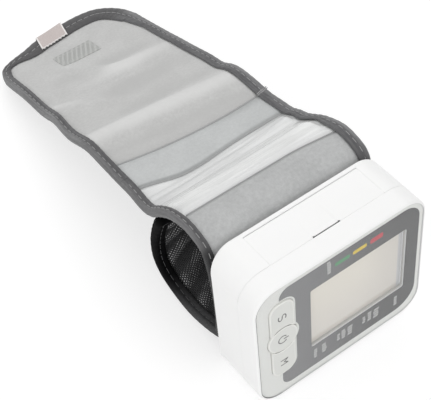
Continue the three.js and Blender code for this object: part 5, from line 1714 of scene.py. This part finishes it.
# Floor, sky and lamps. The camera, mirrors and clear panel see white; the floor keeps the shadow.
# A lamp is its name, place, size and power.
studio = {"floorSize": 6.0, "sky": 0.62, "floorTone": (246, 246, 246), "floorShare": 0.55, "floorGlow": 1.2,
          "aim": (0, -0.02, 0.03), "lampLevel": (0, 1, 0.01),
          "lamps": [("key", (-1.0, -0.35, 0.55), 0.9, 3.0), ("front", (0.1, -1.1, 0.6), 0.8, 1.8),
                    ("above", (0.1, 0.0, 1.0), 0.9, 1.9), ("behind", (0.4, 0.95, 0.75), 0.8, 2.7)]}
white = (1, 1, 1, 1)


# One for what the camera sees, also in mirrors and through the clear panel.
def seenDirectly(tree):
    path = node(tree, "ShaderNodeLightPath").outputs
    through = maths(tree, "MAXIMUM", path["Is Glossy Ray"], path["Is Transmission Ray"])
    return maths(tree, "MAXIMUM", path["Is Camera Ray"], through)


def makeFloor():
    side = studio["floorSize"] / 2
    corners = [(-side, -side, 0), (side, -side, 0), (side, side, 0), (-side, side, 0)]
    mesh = bpy.data.meshes.new("floor")
    mesh.from_pydata(corners, [], [(0, 1, 2, 3)])
    floor = bpy.data.objects.new("floor", mesh)
    bpy.context.scene.collection.objects.link(floor)
    tone = colour(studio["floorTone"])
    tree, shader = newMaterial("paleFloor", base=tone, roughness=0.9, specular=0.0)
    glow = node(tree, "ShaderNodeEmission", {"Color": white, "Strength": studio["floorGlow"]})
    share = maths(tree, "MULTIPLY", seenDirectly(tree), studio["floorShare"])
    mixed = node(tree, "ShaderNodeMixShader", {0: share, 1: shader.outputs[0], 2: glow.outputs[0]})
    out = next(n for n in tree.nodes if n.type == "OUTPUT_MATERIAL")
    tree.links.new(mixed.outputs[0], out.inputs["Surface"])
    mesh.materials.append(bpy.data.materials["paleFloor"])


def makeSky():
    world = bpy.data.worlds.new("studio")
    bpy.context.scene.world = world
    world.use_nodes = True
    tree = world.node_tree
    extra = maths(tree, "MULTIPLY", seenDirectly(tree), 1.0 - studio["sky"])
    background = next(n for n in tree.nodes if n.type == "BACKGROUND")
    background.inputs[0].default_value = white
    tree.links.new(maths(tree, "ADD", extra, studio["sky"]), background.inputs[1])


def makeLamps():
    for name, place, size, power in studio["lamps"]:
        data = bpy.data.lights.new(name, "AREA")
        data.size = size
        data.energy = power
        back = unit(np.array(place) - studio["aim"])
        level = unit(np.cross(studio["lampLevel"], back))
        placeByAxes(name, data, level, np.cross(back, level), back, place)


makeFloor()
makeSky()
makeLamps()
bpy.context.scene.view_settings.view_transform = "Standard"
print("stage set")
